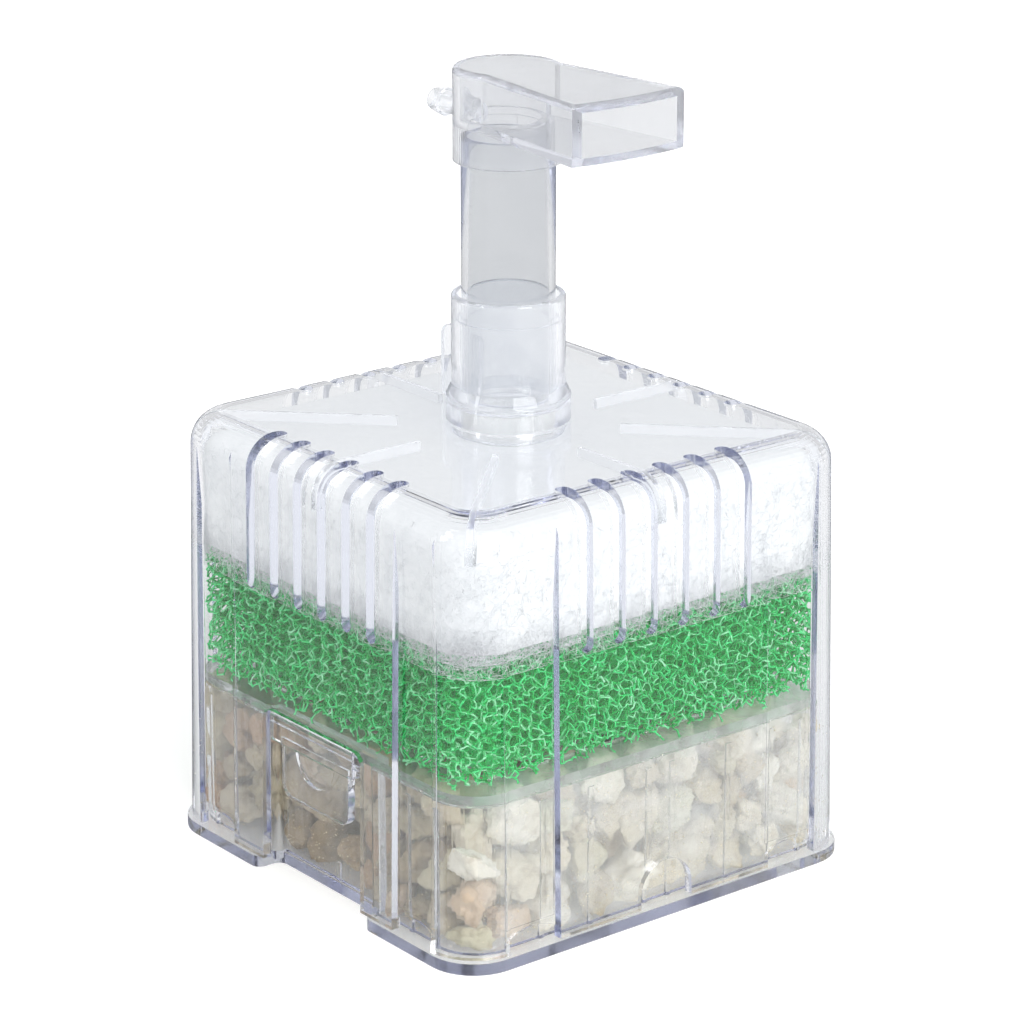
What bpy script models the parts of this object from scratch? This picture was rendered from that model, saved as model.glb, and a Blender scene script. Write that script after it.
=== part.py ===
"""Square box sponge filter for an aquarium, with a telescoping riser and a duckbill outlet.

Every size below is in millimetres; meshes are scaled to metres as they are made.
The origin is the centre of the base's underside, +Z is up and +X is the way the outlet points
at rest. Water enters the slots in the cover, sinks through floss, foam and stones, and air
fed in at the nipple draws it up the centre tube and the riser and out of the duckbill.
"""
import math
import random

import bmesh
import bpy
from mathutils import Matrix, Vector, noise

MM = 0.001
GAP = 0.3                    # clearance between pieces that touch
PAST = 4.0                   # how far a cutter runs past the surface it cuts
TOUCH = 0.01                 # heights closer than this count as the same
FLAT_ANGLE = 0.02            # faces that meet at less than this, in radians, are joined
ROUND_STEPS = 36             # facets round a turned piece
SMALL_STEPS = 24             # facets round the nipple
CORNER_STEPS = 5             # facets round a corner of an outline

# Cover: a square shell, a little narrower at the top
COVER_HALF = 50.0            # half width at the floor
COVER_DRAFT = 0.016          # each side leans in by this much per unit of height
COVER_CORNER = 11.3
COVER_FOOT = 2.7
COVER_TOP = 90.0
COVER_FILLET = 6.5
COVER_WALL = 2.0
CENTRE_HOLE = 11.6

# Slots in the cover, the same on all four sides
SLOTS_PER_SIDE = 6
SLOT_PITCH = 7.94
SLOT_WIDTH = 3.0
SLOT_ROUND = 1.45            # radius at a slot's ends, almost half its width
SLOT_FLOOR = 59.5
SLOT_REACH = 41.5            # how near the axis a slot starts, before the draft

# Upright channels beside the slotted panel, with a scallop at the foot of each
CHANNEL_NEAR = 26.7
CHANNEL_FAR = 39.2
CHANNEL_DEPTH = 1.1
SCALLOP_HEIGHT = 5.0
SCALLOP_RISE = 1.7
SCALLOP_STEPS = 8

# Pry holes in the +X and -X sides, latch openings in the -Y and +Y sides
PRY_HALF = 6.5
PRY_TOP = 11.8
PRY_ROUND = 6.4              # radius of the hole's arched top
LATCH_HALF = 16.5
LATCH_TOP = 35.5
LATCH_ROUND = 2.6
OPENING_STEPS = 6
LATCH_ROOT_HALF = 13.8
LATCH_STEP = 29.4
LATCH_TAB_HALF = 11.2
LATCH_TAB_FOOT = 18.2
LATCH_TAB_CORNER = 2.8
LATCH_SET_BACK = 1.0         # how far the tab lies behind the cover's outer face
LATCH_THICKNESS = 1.7
THUMB_RADIUS = 6.4
THUMB_DEPTH = 0.6
THUMB_STEPS = 16

# Ribs under the top plate
RIB_START = 22.3
RIB_THICKNESS = 1.2
RIB_UNDERSIDE = 86.2
RIB_LEG_FOOT = 80.8
RIB_LEG_WIDTH = 2.6
RIB_SHOULDER = 84.8          # above this a leg's outer side leans in with the top's round edge
RIB_TUCK = 1.4
RIB_BITE = 0.6               # how far a rib runs into the wall and the top plate

# Base tray
FLANGE_HALF = 50.37
FLANGE_CORNER = 10.2
FLANGE_THICKNESS = 2.4
NOTCH_HALF = 18.0
NOTCH_EDGE = 44.5
NOTCH_FILLET = 2.0
TRAY_HALF = 46.6
TRAY_CORNER = 8.5
TRAY_WALL = 1.5
TRAY_TOP = 32.7
TRAY_NOTCH_HALF = 16.9
TRAY_NOTCH_EDGE = 43.9
TRAY_FILLET = 1.0
TRAY_RIB_WIDTH = 1.6
TRAY_RIB_DEPTH = 0.4
TRAY_RIB_TOP = 31.2
TRAY_RIB_PLACES = (3.0, 17.5, 29.0, 37.5)

# Media
GRID_BOTTOM = 33.0
GRID_TOP = 35.0
GRID_HALF = 46.3
GRID_HOLE = 7.2
GRID_PITCH = 10.0
FOAM_HALF = 45.3
FOAM_CORNER = 7.0
FOAM_TOP = 62.6
FLOSS_HALF = 46.0
FLOSS_CORNER = 9.5
FLOSS_TOP = 85.6
FLOSS_ROUND = 6.0
FLOSS_HOLE = 12.3
STONE_CELLS = 5              # stones lie in a grid of this many cells each way
STONE_SEED = 11
STONE_WALL_GAP = 0.6
STONE_NOTCH_GAP = 0.4
STONE_FILL = (0.9, 0.97)     # least and most of its cell that a stone takes up
STONE_ROUGHNESS = 0.35
STONE_GRAIN = 1.3            # bumps per unit on the ball a stone starts as

# Tubes
TUBE_RADIUS = 9.3
TUBE_BORE = 8.0
CENTRE_TUBE_TOP = 93.1
SPIGOT_RADIUS = 7.6
SPIGOT_WALL = 1.3
SPIGOT_TOP = 8.0
INLET_COUNT = 6
INLET_WIDTH = 3.0
INLET_CORNER = 1.2
INLET_BOTTOM = 9.0
INLET_TOP = 17.0
SOCKET_RADIUS = 11.35
SOCKET_RING = 12.5
SOCKET_RING_TOP = 95.4
SOCKET_TOP = 116.0
SOCKET_FOOT = 86.2
SOCKET_STEP = 111.0          # the bore is a little wider above this
SOCKET_LEAD_IN = 0.5
SOCKET_ROUND = 1.2
SOCKET_CONE = 2.2            # height of the cone over the ring
STOP_BOTTOM = 93.4
STOP_TOP = 94.1
STOP_RADIUS = 8.2
FIN_REACH = 20.8
FIN_TOP = 105.3
FIN_THICKNESS = 1.8
FIN_CORNER = 2.5
FIN_BITE = 0.7
RISER_BOTTOM = 94.4
RISER_TOP = 147.6

# Outlet head
HEAD_RADIUS = 10.85
HEAD_WALL = 1.5
SLEEVE_BOTTOM = 142.6
BILL_BOTTOM = 149.6
BILL_TOP = 161.2
BILL_START_ANGLE = 65.0
BILL_REACH = 36.0
BILL_BULGE = 1.3
BILL_HALF = 13.6
BILL_FILLET = 1.1
BILL_BACK_STEPS = 40
BILL_FRONT_STEPS = 10
NIPPLE_HEIGHT = 150.5
NIPPLE_TIP = -23.3
NIPPLE_RADIUS = 2.2
NIPPLE_BORE = 1.2
BARB_RADIUS = 2.9
BARB_BACK = -19.4
NIPPLE_END = -7.2

CLEAR = ("clear_plastic", (0.86, 0.88, 0.93), 0.06)
GREEN = ("green_foam", (0.04, 0.42, 0.13), 0.7)
WHITE = ("white_floss", (0.93, 0.94, 0.95), 0.9)
STONE = ("stone", (0.72, 0.64, 0.5), 0.85)


def make_collection(name):
    collection = bpy.data.collections.new(name)
    bpy.context.scene.collection.children.link(collection)
    return collection


def make_material(kind):
    name, colour, roughness = kind
    material = bpy.data.materials.get(name)
    if material is None:
        material = bpy.data.materials.new(name)
        material.use_nodes = True
        shader = material.node_tree.nodes["Principled BSDF"]
        shader.inputs["Base Color"].default_value = (*colour, 1.0)
        shader.inputs["Roughness"].default_value = roughness
        shader.inputs["Metallic"].default_value = 0.0
    return material


def finish_mesh(bm, name):
    """Scale a finished bmesh to metres and hand it over as a mesh."""
    bmesh.ops.recalc_face_normals(bm, faces=bm.faces)
    bmesh.ops.scale(bm, vec=(MM, MM, MM), verts=bm.verts)
    mesh = bpy.data.meshes.new(name)
    bm.to_mesh(mesh)
    bm.free()
    return mesh


def add_piece(name, mesh, kind, smooth=False):
    piece = bpy.data.objects.new(name, mesh)
    PIECES.objects.link(piece)
    mesh.materials.append(make_material(kind))
    if smooth:
        mesh.shade_smooth()
        mesh.set_sharp_from_angle(angle=math.radians(35))
    return piece


def add_helper(name, mesh):
    helper = bpy.data.objects.new(name, mesh)
    CUTTERS.objects.link(helper)
    helper.hide_render = True
    helper.display_type = "WIRE"
    return helper


def combine(piece, name, bm, operation):
    """Cut a piece with the solids in bm, or join them to it."""
    helper = add_helper(name, finish_mesh(bm, name))
    boolean = piece.modifiers.new(name, "BOOLEAN")
    boolean.operation = operation
    boolean.solver = "EXACT"
    boolean.object = helper


def arc(centre, radius, start, end, steps):
    """Points along an arc, angles in degrees."""
    angles = [math.radians(start + (end - start) * i / steps) for i in range(steps + 1)]
    return [(centre[0] + radius * math.cos(a), centre[1] + radius * math.sin(a)) for a in angles]


def rounded_outline(corners, steps=CORNER_STEPS):
    """Outline through (x, y, radius) corners, each rounded by its radius."""
    points = []
    for index, (x, y, radius) in enumerate(corners):
        corner = Vector((x, y))
        if radius <= 0:
            points.append((x, y))
            continue
        before = Vector(corners[index - 1][:2]) - corner
        after = Vector(corners[(index + 1) % len(corners)][:2]) - corner
        before.normalize()
        after.normalize()
        half_angle = before.angle(after) / 2
        middle = (before + after).normalized()
        centre = corner + middle * (radius / math.sin(half_angle))
        first = corner + before * (radius / math.tan(half_angle)) - centre
        last = corner + after * (radius / math.tan(half_angle)) - centre
        sweep = first.angle_signed(last)
        for i in range(steps + 1):
            turned = first.copy()
            turned.rotate(Matrix.Rotation(-sweep * i / steps, 2))
            points.append(tuple(centre + turned))
    return points


def rectangle(x0, x1, y0, y1, radius=0.0):
    return rounded_outline([(x0, y0, radius), (x1, y0, radius), (x1, y1, radius), (x0, y1, radius)])


def circle(radius):
    return arc((0.0, 0.0), radius, 0, 360, ROUND_STEPS)[:-1]


def flat_solid(outlines, bottom, top):
    """A bmesh of the flat outlines between two heights; outlines inside another are holes."""
    curve = bpy.data.curves.new("outline", "CURVE")
    curve.dimensions = "2D"
    curve.fill_mode = "BOTH"
    curve.extrude = (top - bottom) / 2
    for outline in outlines:
        spline = curve.splines.new("POLY")
        spline.points.add(len(outline) - 1)
        for point, (x, y) in zip(spline.points, outline):
            point.co = (x, y, 0.0, 1.0)
        spline.use_cyclic_u = True
    holder = bpy.data.objects.new("outline", curve)
    bpy.context.scene.collection.objects.link(holder)
    evaluated = holder.evaluated_get(bpy.context.evaluated_depsgraph_get())
    mesh = bpy.data.meshes.new_from_object(evaluated)
    bm = bmesh.new()
    bm.from_mesh(mesh)
    bmesh.ops.remove_doubles(bm, verts=bm.verts, dist=TOUCH / 10)
    bmesh.ops.translate(bm, vec=(0, 0, (top + bottom) / 2), verts=bm.verts)
    bmesh.ops.recalc_face_normals(bm, faces=bm.faces)
    bpy.data.objects.remove(holder)
    bpy.data.curves.remove(curve)
    bpy.data.meshes.remove(mesh)
    return bm


def append(target, source):
    """Move everything in source into target."""
    mesh = bpy.data.meshes.new("moved")
    source.to_mesh(mesh)
    source.free()
    target.from_mesh(mesh)
    bpy.data.meshes.remove(mesh)


def on_side(bm, side):
    """Stand a flat solid up against a side of the box.

    Its x runs along the side, its y becomes height and its thickness becomes the distance
    from the axis, which shrinks with height as the cover's walls do.
    """
    for vert in bm.verts:
        along, height, distance = vert.co
        vert.co = (along, -(distance - COVER_DRAFT * height), height)
    bmesh.ops.rotate(bm, matrix=Matrix.Rotation(side * math.pi / 2, 3, "Z"), verts=bm.verts)
    return bm


def turned(name, profile, kind):
    """A turned piece: the closed (radius, height) profile swept round the Z axis."""
    bm = bmesh.new()
    verts = [bm.verts.new((radius * MM, 0, height * MM)) for radius, height in profile]
    for first, second in zip(verts, verts[1:] + verts[:1]):
        bm.edges.new((first, second))
    mesh = bpy.data.meshes.new(name)
    bm.to_mesh(mesh)
    bm.free()
    piece = add_piece(name, mesh, kind)
    screw = piece.modifiers.new("turn", "SCREW")
    screw.angle = math.tau
    screw.steps = ROUND_STEPS
    screw.render_steps = ROUND_STEPS
    screw.use_merge_vertices = True
    screw.merge_threshold = TOUCH * MM
    screw.use_smooth_shade = True
    return piece


def cylinder(radius, bottom, top, steps=ROUND_STEPS):
    bm = bmesh.new()
    place = Matrix.Translation((0, 0, (bottom + top) / 2))
    bmesh.ops.create_cone(bm, cap_ends=True, segments=steps, radius1=radius, radius2=radius,
                          depth=top - bottom, matrix=place)
    return bm


def cover_blank():
    """Outside of the cover as an open shell: draft, round corners and a round top edge."""
    bm = bmesh.new()
    bmesh.ops.create_cube(bm, size=1.0)
    for vert in bm.verts:
        height = COVER_TOP if vert.co.z > 0 else COVER_FOOT
        half = COVER_HALF - COVER_DRAFT * height
        vert.co = (math.copysign(half, vert.co.x), math.copysign(half, vert.co.y), height)
    uprights = [e for e in bm.edges if abs(e.verts[0].co.z - e.verts[1].co.z) > 1]
    bmesh.ops.bevel(bm, geom=uprights, offset=COVER_CORNER, segments=6, profile=0.5,
                    affect="EDGES", clamp_overlap=True)
    rim = [e for e in bm.edges if min(v.co.z for v in e.verts) > COVER_TOP - TOUCH]
    bmesh.ops.bevel(bm, geom=rim, offset=COVER_FILLET, segments=4, profile=0.5,
                    affect="EDGES", clamp_overlap=True)
    floor = [f for f in bm.faces if max(v.co.z for v in f.verts) < COVER_FOOT + TOUCH]
    bmesh.ops.delete(bm, geom=floor, context="FACES_ONLY")
    return bm


def slot_cutter(place, side):
    """One slot: round at its lower end and, over the top edge, round at its inner end."""
    low = place - SLOT_WIDTH / 2
    high = place + SLOT_WIDTH / 2
    outline = rounded_outline([(low, SLOT_FLOOR, SLOT_ROUND), (high, SLOT_FLOOR, SLOT_ROUND),
                               (high, COVER_TOP + PAST, 0), (low, COVER_TOP + PAST, 0)], 4)
    bm = flat_solid([outline], SLOT_REACH, COVER_HALF + PAST)
    bmesh.ops.dissolve_limit(bm, angle_limit=FLAT_ANGLE, verts=bm.verts, edges=bm.edges)
    height = COVER_TOP - SLOT_FLOOR
    inner = [e for e in bm.edges
             if all(v.co.z < SLOT_REACH + TOUCH for v in e.verts)
             and abs(e.verts[0].co.y - e.verts[1].co.y) > height / 2]
    bmesh.ops.bevel(bm, geom=inner, offset=SLOT_ROUND, segments=3, profile=0.5, affect="EDGES")
    return on_side(bm, side)


def scallop_outline(sign):
    """Shallow arch at the foot of a channel, from under the wall up to its rise."""
    middle = (CHANNEL_NEAR + CHANNEL_FAR) / 2
    half = (CHANNEL_FAR - CHANNEL_NEAR) / 2
    crown = []
    for i in range(SCALLOP_STEPS + 1):
        along = half - 2 * half * i / SCALLOP_STEPS
        crown.append((sign * middle + along,
                      SCALLOP_HEIGHT + SCALLOP_RISE * (1 - (along / half) ** 2)))
    return [(sign * middle - half, 0), (sign * middle + half, 0)] + crown


def make_cover():
    cover = add_piece("cover", finish_mesh(cover_blank(), "cover"), CLEAR)
    wall = cover.modifiers.new("wall", "SOLIDIFY")
    wall.thickness = COVER_WALL * MM
    wall.offset = -1.0
    wall.use_even_offset = True

    openings = cylinder(CENTRE_HOLE, COVER_TOP - COVER_WALL - PAST, COVER_TOP + PAST)
    for side in range(4):
        for index in range(SLOTS_PER_SIDE):
            place = (index - (SLOTS_PER_SIDE - 1) / 2) * SLOT_PITCH
            append(openings, slot_cutter(place, side))
        for sign in (-1, 1):
            scallop = flat_solid([scallop_outline(sign)], COVER_HALF - PAST, COVER_HALF + PAST)
            append(openings, on_side(scallop, side))
        if side % 2 == 0:
            corners = [(-LATCH_HALF, 0, 0), (LATCH_HALF, 0, 0),
                       (LATCH_HALF, LATCH_TOP, LATCH_ROUND), (-LATCH_HALF, LATCH_TOP, LATCH_ROUND)]
        else:
            corners = [(-PRY_HALF, 0, 0), (PRY_HALF, 0, 0),
                       (PRY_HALF, PRY_TOP, PRY_ROUND), (-PRY_HALF, PRY_TOP, PRY_ROUND)]
        outline = rounded_outline(corners, OPENING_STEPS)
        hole = flat_solid([outline], COVER_HALF - PAST, COVER_HALF + PAST)
        append(openings, on_side(hole, side))
    combine(cover, "cover_openings", openings, "DIFFERENCE")

    channels = bmesh.new()
    for side in range(4):
        for sign in (-1, 1):
            ends = sorted((sign * CHANNEL_NEAR, sign * CHANNEL_FAR))
            outline = rectangle(ends[0], ends[1], -PAST, COVER_TOP + PAST)
            channel = flat_solid([outline], COVER_HALF - CHANNEL_DEPTH, COVER_HALF + PAST)
            append(channels, on_side(channel, side))
    combine(cover, "cover_channels", channels, "DIFFERENCE")
    combine(cover, "cover_ribs", cover_ribs(0.0), "UNION")
    return cover


def cover_ribs(room):
    """Eight L-shaped ribs under the top plate, made larger all round by some room."""
    wall = COVER_HALF - COVER_DRAFT * RIB_LEG_FOOT - COVER_WALL
    flat = wall + COVER_WALL - COVER_CORNER
    diagonal_extra = flat * math.sqrt(2) + (COVER_CORNER - COVER_WALL) - wall
    plate = COVER_TOP - COVER_WALL
    ribs = bmesh.new()
    for eighth in range(8):
        extra = diagonal_extra if eighth % 2 else 0.0
        end = wall + extra
        start = RIB_START - room
        inside = end - RIB_LEG_WIDTH - room
        underside = RIB_UNDERSIDE - room
        foot = RIB_LEG_FOOT - room
        outline = [(start, underside), (inside, underside), (inside, foot), (end + RIB_BITE, foot),
                   (end + RIB_BITE, RIB_SHOULDER), (end - RIB_TUCK, plate + RIB_BITE),
                   (start, plate + RIB_BITE)]
        rib = flat_solid([outline], -RIB_THICKNESS / 2 - room, RIB_THICKNESS / 2 + room)
        bmesh.ops.rotate(rib, matrix=Matrix.Rotation(math.pi / 2, 3, "X"), verts=rib.verts)
        bmesh.ops.rotate(rib, matrix=Matrix.Rotation(eighth * math.pi / 4, 3, "Z"), verts=rib.verts)
        append(ribs, rib)
    return ribs


def notched_square(half, corner, notch_half, notch_edge, fillet):
    """Square outline with a notch in the middle of its -Y and +Y sides."""
    lower = [(-half, -half, corner), (-notch_half, -half, fillet), (-notch_half, -notch_edge, fillet),
             (notch_half, -notch_edge, fillet), (notch_half, -half, fillet), (half, -half, corner)]
    upper = [(-x, -y, radius) for x, y, radius in lower]
    return rounded_outline(lower + upper)


def make_base_tray():
    """Flange, floor and basket walls in one moulding."""
    flange_outline = notched_square(FLANGE_HALF, FLANGE_CORNER, NOTCH_HALF, NOTCH_EDGE, NOTCH_FILLET)
    flange = flat_solid([flange_outline], 0, FLANGE_THICKNESS)
    tray = add_piece("base_tray", finish_mesh(flange, "base_tray"), CLEAR)

    outer = notched_square(TRAY_HALF, TRAY_CORNER, TRAY_NOTCH_HALF, TRAY_NOTCH_EDGE, TRAY_FILLET)
    inner = notched_square(TRAY_HALF - TRAY_WALL, TRAY_CORNER - TRAY_WALL,
                           TRAY_NOTCH_HALF + TRAY_WALL, TRAY_NOTCH_EDGE - TRAY_WALL, TRAY_FILLET)
    combine(tray, "tray_walls", flat_solid([outer, inner], FLANGE_THICKNESS / 2, TRAY_TOP), "UNION")

    ribs = flat_solid([circle(SPIGOT_RADIUS), circle(SPIGOT_RADIUS - SPIGOT_WALL)],
                      FLANGE_THICKNESS / 2, SPIGOT_TOP)
    for side in range(4):
        for place in TRAY_RIB_PLACES:
            if side % 2 == 0 and place < NOTCH_HALF:
                continue
            for sign in (-1, 1):
                middle = sign * place
                outline = rectangle(middle - TRAY_RIB_WIDTH / 2, middle + TRAY_RIB_WIDTH / 2,
                                    TRAY_HALF - TRAY_WALL / 2, TRAY_HALF + TRAY_RIB_DEPTH)
                rib = flat_solid([outline], FLANGE_THICKNESS / 2, TRAY_RIB_TOP)
                turn = Matrix.Rotation(side * math.pi / 2, 3, "Z")
                bmesh.ops.rotate(rib, matrix=turn, verts=rib.verts)
                append(ribs, rib)
    combine(tray, "tray_ribs", ribs, "UNION")
    return tray


def make_centre_tube():
    """Tube through the media, standing on the tray's spigot, slotted at its foot."""
    foot = FLANGE_THICKNESS + GAP
    profile = [(TUBE_RADIUS, CENTRE_TUBE_TOP), (TUBE_RADIUS, foot), (TUBE_BORE, foot),
               (TUBE_BORE, CENTRE_TUBE_TOP)]
    tube = turned("centre_tube", profile, CLEAR)
    outline = rectangle(-INLET_WIDTH / 2, INLET_WIDTH / 2, INLET_BOTTOM, INLET_TOP, INLET_CORNER)
    slots = bmesh.new()
    for number in range(INLET_COUNT):
        slot = flat_solid([outline], TUBE_BORE - PAST, TUBE_RADIUS + PAST)
        turn = math.tau * number / INLET_COUNT
        bmesh.ops.rotate(slot, matrix=Matrix.Rotation(math.pi / 2, 3, "X"), verts=slot.verts)
        bmesh.ops.rotate(slot, matrix=Matrix.Rotation(turn, 3, "Z"), verts=slot.verts)
        append(slots, slot)
    combine(tube, "inlet_slots", slots, "DIFFERENCE")
    return tube


def make_separator_grid():
    """Perforated plate that keeps the foam off the stones."""
    reach = GRID_HALF - GRID_HOLE
    count = int(2 * reach / GRID_PITCH)
    outlines = [rectangle(-GRID_HALF, GRID_HALF, -GRID_HALF, GRID_HALF, TRAY_CORNER),
                circle(TUBE_RADIUS + GAP)]
    for row in range(count + 1):
        for column in range(count + 1):
            x = (column - count / 2) * GRID_PITCH
            y = (row - count / 2) * GRID_PITCH
            if math.hypot(x, y) < TUBE_RADIUS + GRID_HOLE:
                continue
            half = GRID_HOLE / 2
            outlines.append(rectangle(x - half, x + half, y - half, y + half))
    grid = flat_solid(outlines, GRID_BOTTOM, GRID_TOP)
    return add_piece("separator_grid", finish_mesh(grid, "separator_grid"), CLEAR)


def make_foam_block():
    outlines = [rectangle(-FOAM_HALF, FOAM_HALF, -FOAM_HALF, FOAM_HALF, FOAM_CORNER),
                circle(TUBE_RADIUS + GAP)]
    foam = flat_solid(outlines, GRID_TOP + GAP, FOAM_TOP)
    return add_piece("foam_block", finish_mesh(foam, "foam_block"), GREEN)


def make_floss_pad():
    """Pad over the foam, its upper edge rounded so that it clears the ribs' legs."""
    bm = bmesh.new()
    bottom = FOAM_TOP + GAP
    bmesh.ops.create_cube(bm, size=1.0)
    for vert in bm.verts:
        vert.co = (2 * FLOSS_HALF * vert.co.x, 2 * FLOSS_HALF * vert.co.y,
                   FLOSS_TOP if vert.co.z > 0 else bottom)
    uprights = [e for e in bm.edges if abs(e.verts[0].co.z - e.verts[1].co.z) > 1]
    bmesh.ops.bevel(bm, geom=uprights, offset=FLOSS_CORNER, segments=5, profile=0.5, affect="EDGES")
    rim = [e for e in bm.edges if min(v.co.z for v in e.verts) > FLOSS_TOP - TOUCH]
    bmesh.ops.bevel(bm, geom=rim, offset=FLOSS_ROUND, segments=4, profile=0.5, affect="EDGES")
    floss = add_piece("floss_pad", finish_mesh(bm, "floss_pad"), WHITE)
    combine(floss, "floss_hole", cylinder(FLOSS_HOLE, bottom - PAST, FLOSS_TOP + PAST), "DIFFERENCE")
    combine(floss, "floss_grooves", cover_ribs(2 * GAP), "DIFFERENCE")
    return floss


def make_stones():
    """Stones in the tray: two layers round the outside, one round the centre tube."""
    random.seed(STONE_SEED)
    half = TRAY_HALF - TRAY_WALL - STONE_WALL_GAP
    size = 2 * half / STONE_CELLS
    floor = FLANGE_THICKNESS + GAP
    middle = (floor + TRAY_TOP) / 2
    number = 0
    for layer in range(2):
        for row in range(STONE_CELLS):
            for column in range(STONE_CELLS):
                ring = max(abs(row - STONE_CELLS // 2), abs(column - STONE_CELLS // 2))
                if ring < 1 + layer:
                    continue
                low = Vector((column * size - half, row * size - half, floor if layer == 0 else middle))
                high = low + Vector((size, size, middle - floor))
                clear_of_fixtures(low, high)
                number += 1
                make_stone(f"stone_{number:02d}", low, high)


def clear_of_fixtures(low, high):
    """Pull a stone's cell in from the centre tube and from the tray's notched walls."""
    tube = TUBE_RADIUS + GAP
    wall = TRAY_NOTCH_EDGE - TRAY_WALL - STONE_NOTCH_GAP
    notch = TRAY_NOTCH_HALF + TRAY_WALL
    for axis, across in ((0, 1), (1, 0)):
        if low[across] < 0 < high[across]:
            if 0 < low[axis] < tube:
                low[axis] = tube
            if -tube < high[axis] < 0:
                high[axis] = -tube
    if low.x < notch and high.x > -notch:
        low.y = max(low.y, -wall)
        high.y = min(high.y, wall)


def make_stone(name, low, high):
    """A rough chunk of rock that fills most of a cell."""
    bm = bmesh.new()
    bmesh.ops.create_icosphere(bm, subdivisions=2, radius=1.0)
    offset = Vector((random.uniform(-50, 50), random.uniform(-50, 50), random.uniform(-50, 50)))
    for vert in bm.verts:
        vert.co *= 1.0 + STONE_ROUGHNESS * noise.noise(vert.co * STONE_GRAIN + offset)
    mins = Vector((min(v.co[i] for v in bm.verts) for i in range(3)))
    maxs = Vector((max(v.co[i] for v in bm.verts) for i in range(3)))
    fill = random.uniform(*STONE_FILL)
    for vert in bm.verts:
        for i in range(3):
            share = (vert.co[i] - mins[i]) / (maxs[i] - mins[i])
            middle = (low[i] + high[i]) / 2
            vert.co[i] = middle + (share - 0.5) * (high[i] - low[i]) * fill
    return add_piece(name, finish_mesh(bm, name), STONE)


def make_socket():
    """Socket that holds the riser, plugged into the top plate, with one upright fin."""
    bore = TUBE_RADIUS + GAP
    soft = SOCKET_ROUND * (1 - math.sqrt(0.5))
    plug = CENTRE_HOLE - GAP
    foot = COVER_TOP + GAP
    crown = [(bore + SOCKET_LEAD_IN, SOCKET_TOP), (SOCKET_RADIUS - SOCKET_ROUND, SOCKET_TOP),
             (SOCKET_RADIUS - soft, SOCKET_TOP - soft), (SOCKET_RADIUS, SOCKET_TOP - SOCKET_ROUND)]
    outer = [(SOCKET_RADIUS, SOCKET_RING_TOP + SOCKET_CONE), (SOCKET_RING, SOCKET_RING_TOP),
             (SOCKET_RING, foot), (plug, foot), (plug, SOCKET_FOOT)]
    inner = [(bore, SOCKET_FOOT), (bore, STOP_BOTTOM), (STOP_RADIUS, STOP_BOTTOM),
             (STOP_RADIUS, STOP_TOP), (bore, STOP_TOP), (bore, SOCKET_STEP),
             (bore + SOCKET_LEAD_IN, SOCKET_STEP)]
    socket = turned("riser_socket", crown + outer + inner, CLEAR)
    root = -SOCKET_RADIUS + FIN_BITE
    outline = rounded_outline([(-FIN_REACH, foot, 0), (root, foot, 0), (root, FIN_TOP, 0),
                               (-FIN_REACH, FIN_TOP, FIN_CORNER)])
    fin = flat_solid([outline], -FIN_THICKNESS / 2, FIN_THICKNESS / 2)
    bmesh.ops.rotate(fin, matrix=Matrix.Rotation(math.pi / 2, 3, "X"), verts=fin.verts)
    combine(socket, "socket_fin", fin, "UNION")
    return socket


def make_latch_tab(name, side):
    """Tongue that hangs in a latch opening: a thick root, then a thinner tab."""
    front = COVER_HALF
    root = flat_solid([rectangle(-LATCH_ROOT_HALF, LATCH_ROOT_HALF, LATCH_STEP, LATCH_TOP - GAP)],
                      front - COVER_WALL, front)
    step = front - LATCH_SET_BACK
    joined = LATCH_STEP + LATCH_SET_BACK
    tab_outline = rounded_outline([(-LATCH_TAB_HALF, LATCH_TAB_FOOT, LATCH_TAB_CORNER),
                                   (LATCH_TAB_HALF, LATCH_TAB_FOOT, LATCH_TAB_CORNER),
                                   (LATCH_TAB_HALF, joined, 0), (-LATCH_TAB_HALF, joined, 0)])
    tab = on_side(flat_solid([tab_outline], step - LATCH_THICKNESS, step), side)
    relief_outline = arc((0, LATCH_STEP), THUMB_RADIUS, 180, 360, THUMB_STEPS)
    relief = on_side(flat_solid([relief_outline], step - THUMB_DEPTH, front + PAST), side)
    piece = add_piece(name, finish_mesh(on_side(root, side), name), CLEAR)
    combine(piece, name + "_tab", tab, "UNION")
    combine(piece, name + "_relief", relief, "DIFFERENCE")
    return piece


def make_riser_tube():
    profile = [(TUBE_RADIUS, RISER_TOP), (TUBE_RADIUS, RISER_BOTTOM), (TUBE_BORE, RISER_BOTTOM),
               (TUBE_BORE, RISER_TOP)]
    return turned("riser_tube", profile, CLEAR)


def bill_outline(inset, reach):
    """Plan of the outlet: most of a circle, two flared sides and a bowed front."""
    radius = HEAD_RADIUS - inset
    half = BILL_HALF - inset
    points = arc((0, 0), radius, BILL_START_ANGLE, 360 - BILL_START_ANGLE, BILL_BACK_STEPS)
    for i in range(BILL_FRONT_STEPS + 1):
        along = -1 + 2 * i / BILL_FRONT_STEPS
        points.append((reach + BILL_BULGE * (1 - along ** 2), half * along))
    return points


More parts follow.
